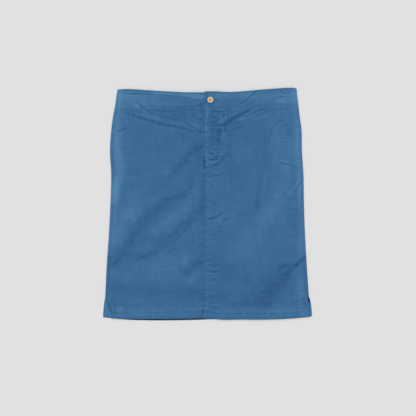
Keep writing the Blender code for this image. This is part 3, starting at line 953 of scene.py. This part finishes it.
def cloths():
    """Each sewn piece as its border lines, its underside's height, its wall and how its edges end."""
    sizes = bpy.context.scene.skirt_sizes
    panel = sizes.panel_wall / MM
    band = sizes.band_wall / MM
    gap = SEAM_GAP / 2
    back_sides = (side_line("left", BACK_VENTS), side_line("right", BACK_VENTS))
    back_ends = (cross_line(BAND_SEAM_BACK, gap), cross_line(BACK_HEM))
    left_top = cross_line(BAND_SEAM_LEFT, gap)
    left_sides = (LEFT_SIDE, left_under_line)
    right_sides = (centre_line(gap), RIGHT_SIDE)
    right_ends = (cross_line(BAND_SEAM_RIGHT, gap), HEM)
    under_sides = (centre_line(LEFT_UNDER + SEAM_GAP), underlap_line)
    under_ends = (left_top, lambda x: 0 * x + UNDERLAP_END)
    left_band_sides = (LEFT_SIDE, centre_line(BAND_UNDER))
    back_band = band_ends(WAIST_BACK, BAND_SEAM_BACK)
    left_band = band_ends(WAIST_LEFT, BAND_SEAM_LEFT)
    right_band = band_ends(WAIST_RIGHT, BAND_SEAM_RIGHT)
    return {
        "back_panel": Cloth(back_sides, back_ends, back_height, panel, PANEL_EDGES),
        "waistband_back": Cloth(back_sides, back_band, back_height, band, BAND_EDGES),
        "front_left": Cloth(left_sides, (left_top, HEM), left_panel_height, panel, LEFT_EDGES),
        "fly_underlap": Cloth(under_sides, under_ends, under_height, panel, UNDERLAP_EDGES),
        "waistband_front_left": Cloth(left_band_sides, left_band, left_band_height, band, BAND_EDGES),
        "front_right": Cloth(right_sides, right_ends, right_panel_height, panel, PANEL_EDGES),
        "waistband_front_right": Cloth(right_sides, right_band, right_band_height, band, BAND_EDGES),
    }


def lines(*stretches):
    """Grid lines from 0 to 1: stretches of (start, stop, step) in millimetres, closer at both ends."""
    start = stretches[0][0]
    stop = stretches[-1][1]
    inner = np.concatenate([np.linspace(a, b, round((b - a) / step) + 1) for a, b, step in stretches])
    inner = inner[(inner > start + 4) & (inner < stop - 4)]
    ends = np.array(EDGE_STEPS)
    both = np.unique(np.concatenate([start + ends, inner, stop - ends]))
    return (both - start) / (stop - start)


def grid_places(cloth, columns, rows):
    """x and drop of each grid point between the cloth's side lines and end lines."""
    across, down = np.meshgrid(columns, rows)
    drop = LENGTH * down
    for _ in range(EDGE_PASSES):
        x = cloth.sides[0](drop) * (1 - across) + cloth.sides[1](drop) * across
        drop = cloth.ends[0](x) * (1 - down) + cloth.ends[1](x) * down
    return x, drop


def wall_at(cloth, x, drop):
    """The wall's thickness: full inside, and rounded off at each border."""
    left, right = (side(drop) for side in cloth.sides)
    top, bottom = (end(x) for end in cloth.ends)
    share = np.ones_like(x)
    for distance, border in zip((x - left, right - x, drop - top, bottom - drop), cloth.borders):
        t = np.clip(distance / border.reach, 0, 1)
        share = np.minimum(share, border.least + (1 - border.least) * np.sqrt(1 - (1 - t) ** 2))
    return cloth.wall * share


def blurred(values, passes):
    """Values evened out over the neighbouring grid points."""
    for _ in range(passes):
        padded = np.pad(values, 1, mode="edge")
        beside = padded[:-2, 1:-1] + padded[2:, 1:-1] + padded[1:-1, :-2] + padded[1:-1, 2:]
        values = (beside + 2 * values) / 6
    return values


def shade_and_wear_at(cloth, x, drop, height, lying):
    """Painted shade, painted light and wear: from -1 in hollows, painted dark as shade, to 1 on ridges and
    edges, painted pale as light and wear.
    """
    broad = height - blurred(height, BROAD_PASSES)
    fine = height - blurred(height, FINE_PASSES)
    shade_and_wear = np.clip(broad * BROAD_SHADE_AND_WEAR + fine * FINE_SHADE_AND_WEAR, *RELIEF_SHADE_AND_WEAR)
    shade_and_wear = shade_and_wear + sum(fold_height(tone, x, drop, 0.0) for tone in (BACK_PAINTED_SHADOW_AND_LIGHT if lying else PAINTED_LIGHT_AND_SHADE))
    shade_and_wear = shade_and_wear + HEM_PALER * np.exp(-np.clip(cloth.ends[1](x) - drop, 0, None) / HEM_PALER_REACH)
    if lying:
        return np.clip(shade_and_wear, -1, 1)
    # Painted shadow in a ring round the waist button
    button_away = away_from(BUTTON_AT, x, drop)
    shade_and_wear = shade_and_wear - BUTTON_SHADE * bell(button_away - BUTTON_SHADE_AT, BUTTON_SHADE_WIDTH)
    return np.where(shade_and_wear < 0, DEEPEST_PAINTED_SHADE * np.tanh(shade_and_wear / DEEPEST_PAINTED_SHADE), np.minimum(shade_and_wear, 1))


def in_grid_order(verts):
    """Vertices row by row down the skirt, and from left to right in each row."""
    return sorted(verts, key=lambda vert: (-round(vert.co.y, 5), vert.co.x))


def add_object(name, mesh, material=None):
    """Makes an object from a bmesh and links it to the scene."""
    data = bpy.data.meshes.new(name)
    mesh.to_mesh(data)
    mesh.free()
    if material:
        data.materials.append(material)
    made = bpy.data.objects.new(name, data)
    bpy.context.scene.collection.objects.link(made)
    return made


def finish_piece(name, mesh, material, solid=None):
    """Makes a piece from its mesh, lets it ride on the part, and hides the solid that it stands for."""
    for face in mesh.faces:
        face.smooth = True
    piece = add_object(name, mesh, material)
    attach(piece, "root")
    if solid:
        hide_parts(solid)
    return piece


def sew_sheet(name, solid, columns, rows, lying=False):
    """A sheet of cloth as one closed shell, with its folds, rounded edges, and its painted shade, painted
    light and wear.
    """
    cloth = cloths()[solid]
    x, drop = grid_places(cloth, columns, rows)
    under = cloth.height(x, drop)
    wall = wall_at(cloth, x, drop)
    if not lying:
        under = under + (cloth.wall - wall) * 0.5
    shade_and_wear = shade_and_wear_at(cloth, x, drop, under, lying)
    mesh = bmesh.new()
    layer = mesh.verts.layers.float.new("shade_and_wear")
    bmesh.ops.create_grid(mesh, x_segments=len(columns) - 1, y_segments=len(rows) - 1, size=1)
    lower = in_grid_order(mesh.verts)
    whole = mesh.verts[:] + mesh.edges[:] + mesh.faces[:]
    made = bmesh.ops.extrude_face_region(mesh, geom=whole, use_keep_orig=True)
    upper = in_grid_order([part for part in made["geom"] if isinstance(part, bmesh.types.BMVert)])
    for verts, height in ((lower, under), (upper, under + wall)):
        places = np.stack([x, LENGTH / 2 - drop, height], axis=-1).reshape(-1, 3) * MM
        for vert, place, value in zip(verts, places.tolist(), shade_and_wear.reshape(-1).tolist()):
            vert.co = place
            vert[layer] = value
    bmesh.ops.recalc_face_normals(mesh, faces=mesh.faces)
    piece = finish_piece(name, mesh, cotton(), solid)


def node(tree, kind, inputs=None, **settings):
    """Adds a shader node with its settings and, for each input, a value or the socket that feeds it."""
    made = tree.nodes.new(kind)
    for name, value in settings.items():
        setattr(made, name, value)
    for name, value in (inputs or {}).items():
        if isinstance(value, bpy.types.NodeSocket):
            tree.links.new(value, made.inputs[name])
        else:
            made.inputs[name].default_value = value
    return made


def rgba(colour):
    """A colour with full alpha, or the socket that gives one."""
    return colour if isinstance(colour, bpy.types.NodeSocket) else (*colour, 1)


def new_material(name, values=None):
    """A material with a Principled shader of the given values, and its Object coordinates."""
    material = bpy.data.materials.new(name)
    material.use_nodes = True
    tree = material.node_tree
    tree.nodes.clear()
    shader = node(tree, "ShaderNodeBsdfPrincipled", values)
    node(tree, "ShaderNodeOutputMaterial", {"Surface": shader.outputs[0]})
    place = node(tree, "ShaderNodeTexCoord").outputs["Object"]
    return material, tree, shader, place


def combine(tree, operation, *values):
    """What a Math node makes of values and sockets."""
    return node(tree, "ShaderNodeMath", dict(enumerate(values)), operation=operation).outputs[0]


def noise(tree, place, scale, detail):
    inputs = {"Vector": place, "Scale": scale, "Detail": detail}
    return node(tree, "ShaderNodeTexNoise", inputs).outputs["Fac"]


def stretched_noise(tree, place, cell):
    """Noise whose cells measure so many metres along x, y and z."""
    scale = tuple(1 / side for side in cell)
    mapped = node(tree, "ShaderNodeMapping", {"Vector": place, "Scale": scale})
    return noise(tree, mapped.outputs[0], 1.0, 3.0)


def waves(tree, place, spacing, distortion, **settings):
    """Stripes or rings that repeat at a spacing in metres."""
    inputs = {"Vector": place, "Scale": pi / 10 / spacing, "Distortion": distortion}
    return node(tree, "ShaderNodeTexWave", inputs, **settings).outputs["Fac"]


def blend(tree, share, first, second):
    """A colour between two others."""
    inputs = {0: share, 6: rgba(first), 7: rgba(second)}
    return node(tree, "ShaderNodeMix", inputs, data_type="RGBA").outputs[2]


def in_range(tree, value, low, high):
    """A value from 0 to 1, brought to between low and high."""
    return node(tree, "ShaderNodeMapRange", {"Value": value, "To Min": low, "To Max": high}).outputs[0]


def add_relief(tree, shader, height, strength, distance=0.0001):
    """Fine relief that shades the surface without moving it."""
    inputs = {"Height": height, "Strength": strength, "Distance": distance}
    tree.links.new(node(tree, "ShaderNodeBump", inputs).outputs[0], shader.inputs["Normal"])


def washed_cotton():
    """Plain-woven cotton, piece-dyed blue and garment-washed: matt, faintly slubbed, with painted shade in
    hollows and painted light on ridges and edges, together with wear.
    """
    colours = bpy.context.scene.skirt_colours
    values = {
        "Specular IOR Level": 0.25,
        "Sheen Weight": 0.12,
        "Sheen Roughness": 0.5,
        "Sheen Tint": rgba(colours.cloth_lit_and_worn),
    }
    material, tree, shader, place = new_material(COTTON, values)

    # Thicker threads run up and across the cloth, each a streak a few centimetres long
    warp = stretched_noise(tree, place, (0.0028, 0.06, 0.02))
    weft = stretched_noise(tree, place, (0.03, 0.0028, 0.02))
    slub = combine(tree, "ADD", warp, weft)
    # Dye takes unevenly, in soft patches of about 45 mm
    patch = stretched_noise(tree, place, (0.045, 0.045, 0.045))
    # A value per vertex paints shade into hollows and under edges, and light onto ridges and edges, along
    # with paler wear
    shade_and_wear = node(tree, "ShaderNodeAttribute", attribute_name="shade_and_wear").outputs["Fac"]
    level = combine(tree, "MULTIPLY_ADD", slub, 0.2, 0.2)
    level = combine(tree, "MULTIPLY_ADD", patch, 0.2, level)
    level = combine(tree, "MULTIPLY_ADD", shade_and_wear, 0.5, level)
    # The ramp's darkest colours are painted shade and shadow; its palest is painted light together with wear
    dyed_and_shaded = node(tree, "ShaderNodeValToRGB", {"Fac": level})
    stops = dyed_and_shaded.color_ramp.elements
    stops[0].color = rgba(colours.cloth_painted_shadow)
    stops[1].color = rgba(colours.cloth_lit_and_worn)
    for at, colour in ((0.12, colours.cloth_shaded_hollow), (0.5, colours.cloth)):
        stops.new(at).color = rgba(colour)
    tree.links.new(dyed_and_shaded.outputs[0], shader.inputs["Base Color"])

    # A plain weave of about 28 threads a centimetre is too fine to show, so it is drawn at 0.5 mm
    thread = 0.0005
    weave = [waves(tree, place, 2 * thread, 0.6, bands_direction=axis) for axis in "XY"]
    fine = noise(tree, place, 260.0, 3.0)
    relief = combine(tree, "MULTIPLY_ADD", fine, 1.6, combine(tree, "ADD", *weave))
    relief = combine(tree, "MULTIPLY_ADD", slub, 1.5, relief)
    add_relief(tree, shader, relief, 0.6, 0.00012)
    tree.links.new(in_range(tree, patch, 0.84, 0.96), shader.inputs["Roughness"])
    return material


def cotton():
    """The cloth's material, made the first time that it is asked for."""
    return bpy.data.materials.get(COTTON) or washed_cotton()


def twisted_thread(name, spacing, distortion, dark, pale, relief, roughness):
    """Thread whose twist shows as slanting stripes of two colours."""
    material, tree, shader, place = new_material(name, {"Roughness": roughness})
    twist = waves(tree, place, spacing, distortion, bands_direction="DIAGONAL")
    tree.links.new(blend(tree, twist, dark, pale), shader.inputs["Base Color"])
    add_relief(tree, shader, twist, relief)
    return material


def sewing_thread():
    """Spun polyester sewing thread: a faint satin, with a twist about once a millimetre."""
    pale = bpy.context.scene.skirt_colours.thread
    dark = tuple(0.7 * channel for channel in pale)
    return twisted_thread(THREAD, 0.001, 1.5, dark, pale, 0.5, 0.65)


def button_thread():
    """Thick grey-blue thread that holds the button, in loose strands."""
    colours = (linear("#7C7288"), linear("#B4A8B8"))
    return twisted_thread("grey_blue_button_thread", 0.0006, 1.0, *colours, 0.6, 0.7)


def corozo_nut(centre):
    """Turned corozo nut: creamy, with fine growth rings off centre, polished to a satin."""
    colours = bpy.context.scene.skirt_colours
    material, tree, shader, place = new_material("turned_corozo_nut")

    def moved(*spot):
        return node(tree, "ShaderNodeMapping", {"Vector": place, "Location": spot}).outputs[0]

    # The rings are about 1.1 mm apart and centred 30 mm to one side, so that they cross as arcs
    off_centre = moved(-centre.x - 0.03, -centre.y - 0.01, 0)
    rings = waves(tree, off_centre, 0.0011, 3.0, wave_type="RINGS", rings_direction="Z")
    cloud = noise(tree, place, 260.0, 4.0)
    tone = blend(tree, combine(tree, "MULTIPLY", rings, cloud), colours.button, colours.button_grain_and_shade)
    # Painted shade in the dish: it is darker than the rim, within about 4 mm of the centre
    away = node(tree, "ShaderNodeVectorMath", {0: moved(*-centre)}, operation="LENGTH").outputs["Value"]
    inputs = {"Value": away, "From Min": 0.0043, "From Max": 0.0030, "To Max": 0.75}
    dish_shade = node(tree, "ShaderNodeMapRange", inputs).outputs[0]
    tree.links.new(blend(tree, dish_shade, tone, colours.button_grain_and_shade), shader.inputs["Base Color"])
    tree.links.new(in_range(tree, cloud, 0.32, 0.52), shader.inputs["Roughness"])
    add_relief(tree, shader, rings, 0.2)
    return material


def matt_paper():
    """Matt studio paper, with a grain too faint to see from a step away."""
    values = {
        "Base Color": rgba(bpy.context.scene.skirt_colours.floor),
        "Roughness": 1.0,
        "Specular IOR Level": 0.0,
    }
    material, tree, shader, place = new_material("matt_studio_paper", values)
    add_relief(tree, shader, noise(tree, place, 900.0, 2.0), 0.1)
    return material


def even_places(path, pitch):
    """Places a pitch apart along a path, with the direction of the path at each."""
    path = np.asarray(path, float)
    run = run_along(path)
    at = np.arange(pitch / 2, run[-1], pitch)
    way = place_at(path, run, at + 0.2) - place_at(path, run, at - 0.2)
    return place_at(path, run, at), way / np.maximum(np.hypot(*way.T), 1e-9)[:, None]


def place_stitch(mesh, place, way, back, front, length, thick):
    """One stitch between two heights, pressed into the cloth."""
    run = Vector((way[0] * length, -way[1] * length, front - back))
    turn = run.to_track_quat("X", "Z").to_matrix().to_4x4()
    size = Matrix.Diagonal((length * 0.5, thick * 0.55, thick * 0.45, 1))
    spot = Matrix.Translation((place[0], LENGTH / 2 - place[1], (back + front) / 2 + thick * 0.15))
    shape = Matrix.Scale(MM, 4) @ spot @ turn @ size
    bmesh.ops.create_uvsphere(mesh, u_segments=6, v_segments=4, radius=1, matrix=shape)


def surface(piece):
    """Reads the height of a piece's upper face, in millimetres, at places given as x and drop."""

    def top(x, drop):
        heights = []
        for along, down in zip(x, drop):
            start = (along * MM, (LENGTH / 2 - down) * MM, 0.05)
            hit, place, _, _ = piece.ray_cast(start, (0, 0, -1))
            heights.append(place[2] / MM if hit else np.nan)
        return np.array(heights)

    return top


def sew_row(mesh, top, places, ways, length, thread):
    """A row of stitches on the face below it, left out where a stitch's end would hang over an edge."""
    half = ways * length / 2
    back = top(*(places - half).T)
    front = top(*(places + half).T)
    row = bmesh.new()
    for place, way, low, high in zip(places, ways, back, front):
        if not np.isnan(low + high):
            place_stitch(row, place, way, float(low), float(high), length, thread)
    data = bpy.data.meshes.new("row")
    row.to_mesh(data)
    row.free()
    mesh.from_mesh(data)
    bpy.data.meshes.remove(data)


def down_path(line, start, stop, step=4.0):
    """A path down the skirt along a line that gives x for each drop."""
    drops = np.linspace(start, stop, max(2, round((stop - start) / step)))
    return np.column_stack([line(drops), drops])


def across_path(line, start, stop, step=4.0):
    """A path across the skirt along a line that gives the drop for each x."""
    xs = np.linspace(start, stop, max(2, round((stop - start) / step)))
    return np.column_stack([xs, line(xs)])


def stitch_paths():
    """Each row of topstitching: the piece that it lies on, and its path."""
    start, end = J_STITCH_CURVE
    swing = np.linspace(0, pi / 2 - 0.05, 24)
    j_curve = [FLY_EDGE + J_STITCH_REACH * np.cos(swing), start + (end - start) * np.sin(swing)]
    j_top = [FLY_EDGE + J_STITCH_REACH, 49.0]
    back_left = side_line("left", BACK_VENTS)
    back_right = side_line("right", BACK_VENTS)
    side_end = VENT_TOP - 2
    vent_start = VENT_TOP + 3
    back_start = VENT_TOP + 2
    return [
        ("front_right", np.vstack([j_top, np.column_stack(j_curve)])),
        ("front_right", down_path(centre_line(CENTRE_STITCH_IN), 192, 538)),
        ("front_left", down_path(centre_line(-LEFT_FLY_STITCH_IN), 49, 186)),
        ("front_left", down_path(lambda d: LEFT_SIDE(d) + SIDE_STITCH_IN, 46, side_end)),
        ("front_right", down_path(lambda d: RIGHT_SIDE(d) - SIDE_STITCH_IN, 46, side_end)),
        ("front_left", down_path(lambda d: LEFT_SIDE(d) + VENT_STITCH_IN, vent_start, 524)),
        ("front_right", down_path(lambda d: RIGHT_SIDE(d) - VENT_STITCH_IN, vent_start, 520)),
        ("front_left", across_path(cross_line(FRONT_HEM, -HEM_STITCH_UP), -221, -13)),
        ("front_right", across_path(cross_line(FRONT_HEM, -HEM_STITCH_UP), -8, 237)),
        ("waistband_front_left", across_path(cross_line(BAND_SEAM_LEFT, -BAND_STITCH_IN), -213, -7)),
        ("waistband_front_right", across_path(cross_line(BAND_SEAM_RIGHT, -BAND_STITCH_IN), -5, 210)),
        ("waistband_front_left", across_path(cross_line(WAIST_LEFT, BAND_STITCH_IN), -207, -7)),
        ("waistband_front_right", across_path(cross_line(WAIST_RIGHT, BAND_STITCH_IN), -4, 205)),
        ("waistband_front_right", down_path(centre_line(BAND_STITCH_IN), 13, 41)),
        ("back_panel", down_path(lambda d: back_left(d) + VENT_STITCH_IN, back_start, 536)),
        ("back_panel", down_path(lambda d: back_right(d) - VENT_STITCH_IN, back_start, 534)),
        ("back_panel", across_path(cross_line(BACK_HEM, -HEM_STITCH_UP), -241, 241)),
        ("waistband_back", across_path(cross_line(BAND_SEAM_BACK, -BAND_STITCH_IN), -212, 209)),
    ]


STITCHED = {
    "front_left": "left_front_cloth",
    "front_right": "right_front_cloth",
    "waistband_front_left": "left_band_cloth",
    "waistband_front_right": "right_band_cloth",
    "back_panel": "back_cloth",
    "waistband_back": "back_band_cloth",
}

# Bartacks: the piece, the middle and the length, across the skirt
Bartack = namedtuple("Bartack", "node x drop length")
BARTACKS = [
    Bartack("front_right", 1.6, 137.5, 7.0),
    Bartack("front_right", -1.5, 188.0, 8.0),
    Bartack("front_left", -231.5, 484.5, 8.0),
    Bartack("front_right", 232.0, 484.5, 8.0),
]


def sew_bartack(mesh, top, tack, thread):
    """Close slanting stitches across a short bar."""
    count = int(tack.length / (thread * 1.15))
    run = (np.arange(count) + 0.5) / count * tack.length - tack.length / 2
    places = np.column_stack([tack.x + run, np.full(count, tack.drop)])
    ways = np.column_stack([TACK_LEAN * (-1.0) ** np.arange(count), np.ones(count)])
    ways /= np.hypot(*ways.T)[:, None]
    sew_row(mesh, top, places, ways, TACK_WIDTH, thread * 1.1)


def sew_buttonhole(mesh, top, thread):
    """Purl stitches round the slit that the button passes."""
    x, drop = BUTTON_AT
    start = x + BUTTONHOLE[0]
    end = x + BUTTONHOLE[1]
    at = np.arange(start, end, thread * 1.1)
    for side in (-PURL_AWAY, PURL_AWAY):
        places = np.column_stack([at, np.full_like(at, drop + side)])
        ways = np.tile([0.0, 1.0], (len(at), 1))
        sew_row(mesh, top, places, ways, PURL_LENGTH, thread)
    turns = np.radians(np.linspace(-78, 78, 7))
    for tip, outward in ((start, -1), (end, 1)):
        ways = np.column_stack([outward * np.cos(turns), np.sin(turns)])
        sew_row(mesh, top, np.array([tip, drop]) + 1.1 * ways, ways, PURL_LENGTH, thread)


class SKIRT_OT_back(Operator):
    """Builds the back panel and the back waistband, flat on the floor"""

    bl_idname = "skirt.back"
    bl_label = "Back"

    def execute(self, context):
        columns = lines((-220, 220, BACK_STEP))
        rows = lines((42, 470, BACK_STEP), (470, 544, BACK_HEM_STEP))
        sew_sheet("back_cloth", "back_panel", columns, rows, lying=True)
        rows = lines((4, 41, BACK_BAND_STEP))
        sew_sheet("back_band_cloth", "waistband_back", columns, rows, lying=True)
        return {"FINISHED"}


class SKIRT_OT_left_front(Operator):
    """Builds the left front panel and the underlap on its fly edge"""

    bl_idname = "skirt.left_front"
    bl_label = "Left front"

    def execute(self, context):
        columns = lines((-234, -12, STEP), (-12, 6, FINE_STEP))
        sew_sheet("left_front_cloth", "front_left", columns, lines((44, 541, STEP)))
        columns = lines((12, 36, STEP))
        sew_sheet("underlap_cloth", "fly_underlap", columns, lines((44, 165, STEP)))
        return {"FINISHED"}


class SKIRT_OT_right_front(Operator):
    """Builds the right front panel, which laps over the left one at the fly"""

    bl_idname = "skirt.right_front"
    bl_label = "Right front"

    def execute(self, context):
        columns = lines((-6, 44, FINE_STEP), (44, 234, STEP))
        rows = lines((44, 541, STEP))
        sew_sheet("right_front_cloth", "front_right", columns, rows)
        return {"FINISHED"}


class SKIRT_OT_waistband(Operator):
    """Builds the two front ends of the waistband"""

    bl_idname = "skirt.waistband"
    bl_label = "Waistband"

    def execute(self, context):
        rows = lines((4, 44, FINE_STEP))
        columns = lines((-212, 24, FINE_STEP))
        sew_sheet("left_band_cloth", "waistband_front_left", columns, rows)
        columns = lines((-6, 212, FINE_STEP))
        sew_sheet("right_band_cloth", "waistband_front_right", columns, rows)
        return {"FINISHED"}


class SKIRT_OT_stitching(Operator):
    """Sews the rows of topstitching, the bartacks and the buttonhole"""

    bl_idname = "skirt.stitching"
    bl_label = "Stitching"

    def execute(self, context):
        sizes = context.scene.skirt_sizes
        pitch = sizes.stitch_pitch / MM
        length = sizes.stitch_length / MM
        thread = sizes.thread / MM
        material = bpy.data.materials.get(THREAD) or sewing_thread()
        for node_name, piece_name in STITCHED.items():
            top = surface(bpy.data.objects[piece_name])
            mesh = bmesh.new()
            for path in [path for where, path in stitch_paths() if where == node_name]:
                sew_row(mesh, top, *even_places(path, pitch), length, thread)
            for tack in [tack for tack in BARTACKS if tack.node == node_name]:
                sew_bartack(mesh, top, tack, thread)
            if node_name == "waistband_front_right":
                sew_buttonhole(mesh, top, thread)
            finish_piece(f"stitching_{node_name}", mesh, material)
        return {"FINISHED"}


class SKIRT_OT_buttons(Operator):
    """Turns the waist button, drills and sews it, and finishes the concealed one"""

    bl_idname = "skirt.buttons"
    bl_label = "Buttons"

    def execute(self, context):
        sizes = context.scene.skirt_sizes
        low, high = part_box("button")
        centre = (low + high) / 2
        thick = (high.z - low.z) / MM
        rim = sizes.button_width / 2 / MM
        profile = [(rim - row.inset, row.share * thick + row.rest) for row in BUTTON_PROFILE]
        profile = [(0, 0), *profile, (0, thick - DISH_DEPTH)]
        mesh = bmesh.new()
        points = [mesh.verts.new((radius * MM, 0, height * MM)) for radius, height in profile]
        edges = [mesh.edges.new(pair) for pair in zip(points, points[1:])]
        bmesh.ops.spin(
            mesh,
            geom=points + edges,
            axis=(0, 0, 1),
            cent=(0, 0, 0),
            angle=2 * pi,
            steps=sizes.button_steps,
            use_merge=True,
        )
        bmesh.ops.remove_doubles(mesh, verts=mesh.verts, dist=0.00001)
        bmesh.ops.translate(mesh, verts=mesh.verts, vec=(centre.x, centre.y, low.z))
        bmesh.ops.recalc_face_normals(mesh, faces=mesh.faces)
        nut = corozo_nut(centre)
        button = finish_piece("waist_button", mesh, nut, "button")
        self.drill(button, centre, high.z)
        self.sew(centre, high.z - 1.2 * MM)
        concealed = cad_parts["fly_button"]
        concealed.data.materials.clear()
        concealed.data.materials.append(nut)
        return {"FINISHED"}

    def drill(self, button, centre, top):
        """Cuts the four thread holes."""
        mesh = bmesh.new()
        for turn in range(4):
            spot = Vector((HOLE_AWAY * MM, 0, 0))
            spot.rotate(Matrix.Rotation(radians(45 + 90 * turn), 3, "Z"))
            bmesh.ops.create_cone(
                mesh,
                cap_ends=True,
                segments=20,
                radius1=HOLE_RADIUS * MM,
                radius2=HOLE_RADIUS * MM,
                depth=10 * MM,
                matrix=Matrix.Translation((centre.x + spot.x, centre.y + spot.y, top)),
            )
        cutter = add_object("thread_holes", mesh)
        cut = button.modifiers.new("holes", "BOOLEAN")
        cut.operation = "DIFFERENCE"
        cut.object = cutter
        graph = bpy.context.evaluated_depsgraph_get()
        drilled = bpy.data.meshes.new_from_object(button.evaluated_get(graph))
        button.modifiers.remove(cut)
        button.data = drilled
        drilled.set_sharp_from_angle(angle=radians(40))
        bpy.data.objects.remove(cutter)

    def sew(self, centre, height):
        """Threads two bars of strands through the holes."""
        mesh = bmesh.new()
        size = Matrix.Diagonal((*(MM * side for side in STRAND), 1))
        for side in (-1, 1):
            for strand in (-1, 0, 1):
                y = centre.y + (side * BAR_AWAY + strand * STRAND_PITCH) * MM
                lift = height + (0.3 - 0.1 * abs(strand)) * MM
                shape = Matrix.Translation((centre.x, y, lift)) @ size
                bmesh.ops.create_uvsphere(mesh, u_segments=12, v_segments=8, radius=1, matrix=shape)
        finish_piece("button_thread", mesh, button_thread())


class SKIRT_OT_stage(Operator):
    """Lays the floor, and sets the soft lights and the camera straight above"""

    bl_idname = "skirt.stage"
    bl_label = "Stage"

    def execute(self, context):
        scene = context.scene
        sizes = scene.skirt_sizes
        mesh = bmesh.new()
        bmesh.ops.create_grid(mesh, x_segments=1, y_segments=1, size=FLOOR_SIZE)
        bmesh.ops.translate(mesh, verts=mesh.verts, vec=(0, 0, -FLOOR_DROP))
        add_object("floor", mesh, matt_paper())

        for row in SOFTBOXES:
            lamp = bpy.data.lights.new(row.name, "SUN")
            lamp.angle = radians(row.spread)
            lamp.energy = row.power
            softbox = bpy.data.objects.new(row.name, lamp)
            softbox.location = 3 * Vector(row.toward)
            softbox.rotation_euler = (-Vector(row.toward)).to_track_quat("-Z", "Y").to_euler()
            scene.collection.objects.link(softbox)
        world = bpy.data.worlds.new("studio")
        world.use_nodes = True
        sky = world.node_tree.nodes["Background"]
        sky.inputs["Color"].default_value = (1, 1, 1, 1)
        sky.inputs["Strength"].default_value = WORLD_LIGHT
        scene.world = world
        scene.view_settings.view_transform = "Standard"

        lens = bpy.data.cameras.new("camera")
        lens.sensor_width = SENSOR_WIDTH
        lens.lens = SENSOR_WIDTH * sizes.camera_height / sizes.view_width
        camera = bpy.data.objects.new("camera", lens)
        camera.location = (*CAMERA_AT, sizes.camera_height)
        scene.collection.objects.link(camera)
        scene.camera = camera
        return {"FINISHED"}


class SKIRT_PT_pieces(Panel):
    """Lists the skirt's pieces, its sizes and its colours"""

    bl_idname = "SKIRT_PT_pieces"
    bl_label = "Skirt"
    bl_space_type = "VIEW_3D"
    bl_region_type = "UI"
    bl_category = "Skirt"

    def draw(self, context):
        for group in (context.scene.skirt_sizes, context.scene.skirt_colours):
            box = self.layout.box()
            for name in group.bl_rna.properties.keys():
                if name not in ("rna_type", "name"):
                    box.prop(group, name)
        for operator in OPERATORS:
            self.layout.operator(operator.bl_idname)


OPERATORS = (
    SKIRT_OT_back,
    SKIRT_OT_left_front,
    SKIRT_OT_right_front,
    SKIRT_OT_waistband,
    SKIRT_OT_stitching,
    SKIRT_OT_buttons,
    SKIRT_OT_stage,
)
CLASSES = (SkirtSizes, SkirtColours, *OPERATORS, SKIRT_PT_pieces)


def register():
    for cls in CLASSES:
        bpy.utils.register_class(cls)
    bpy.types.Scene.skirt_sizes = PointerProperty(type=SkirtSizes)
    bpy.types.Scene.skirt_colours = PointerProperty(type=SkirtColours)


def unregister():
    del bpy.types.Scene.skirt_colours
    del bpy.types.Scene.skirt_sizes
    for cls in reversed(CLASSES):
        bpy.utils.unregister_class(cls)


def main():
    register()
    bpy.ops.skirt.back()
    bpy.ops.skirt.left_front()
    bpy.ops.skirt.right_front()
    bpy.ops.skirt.waistband()
    bpy.ops.skirt.stitching()
    bpy.ops.skirt.buttons()
    bpy.ops.skirt.stage()


if __name__ == "__main__":
    main()
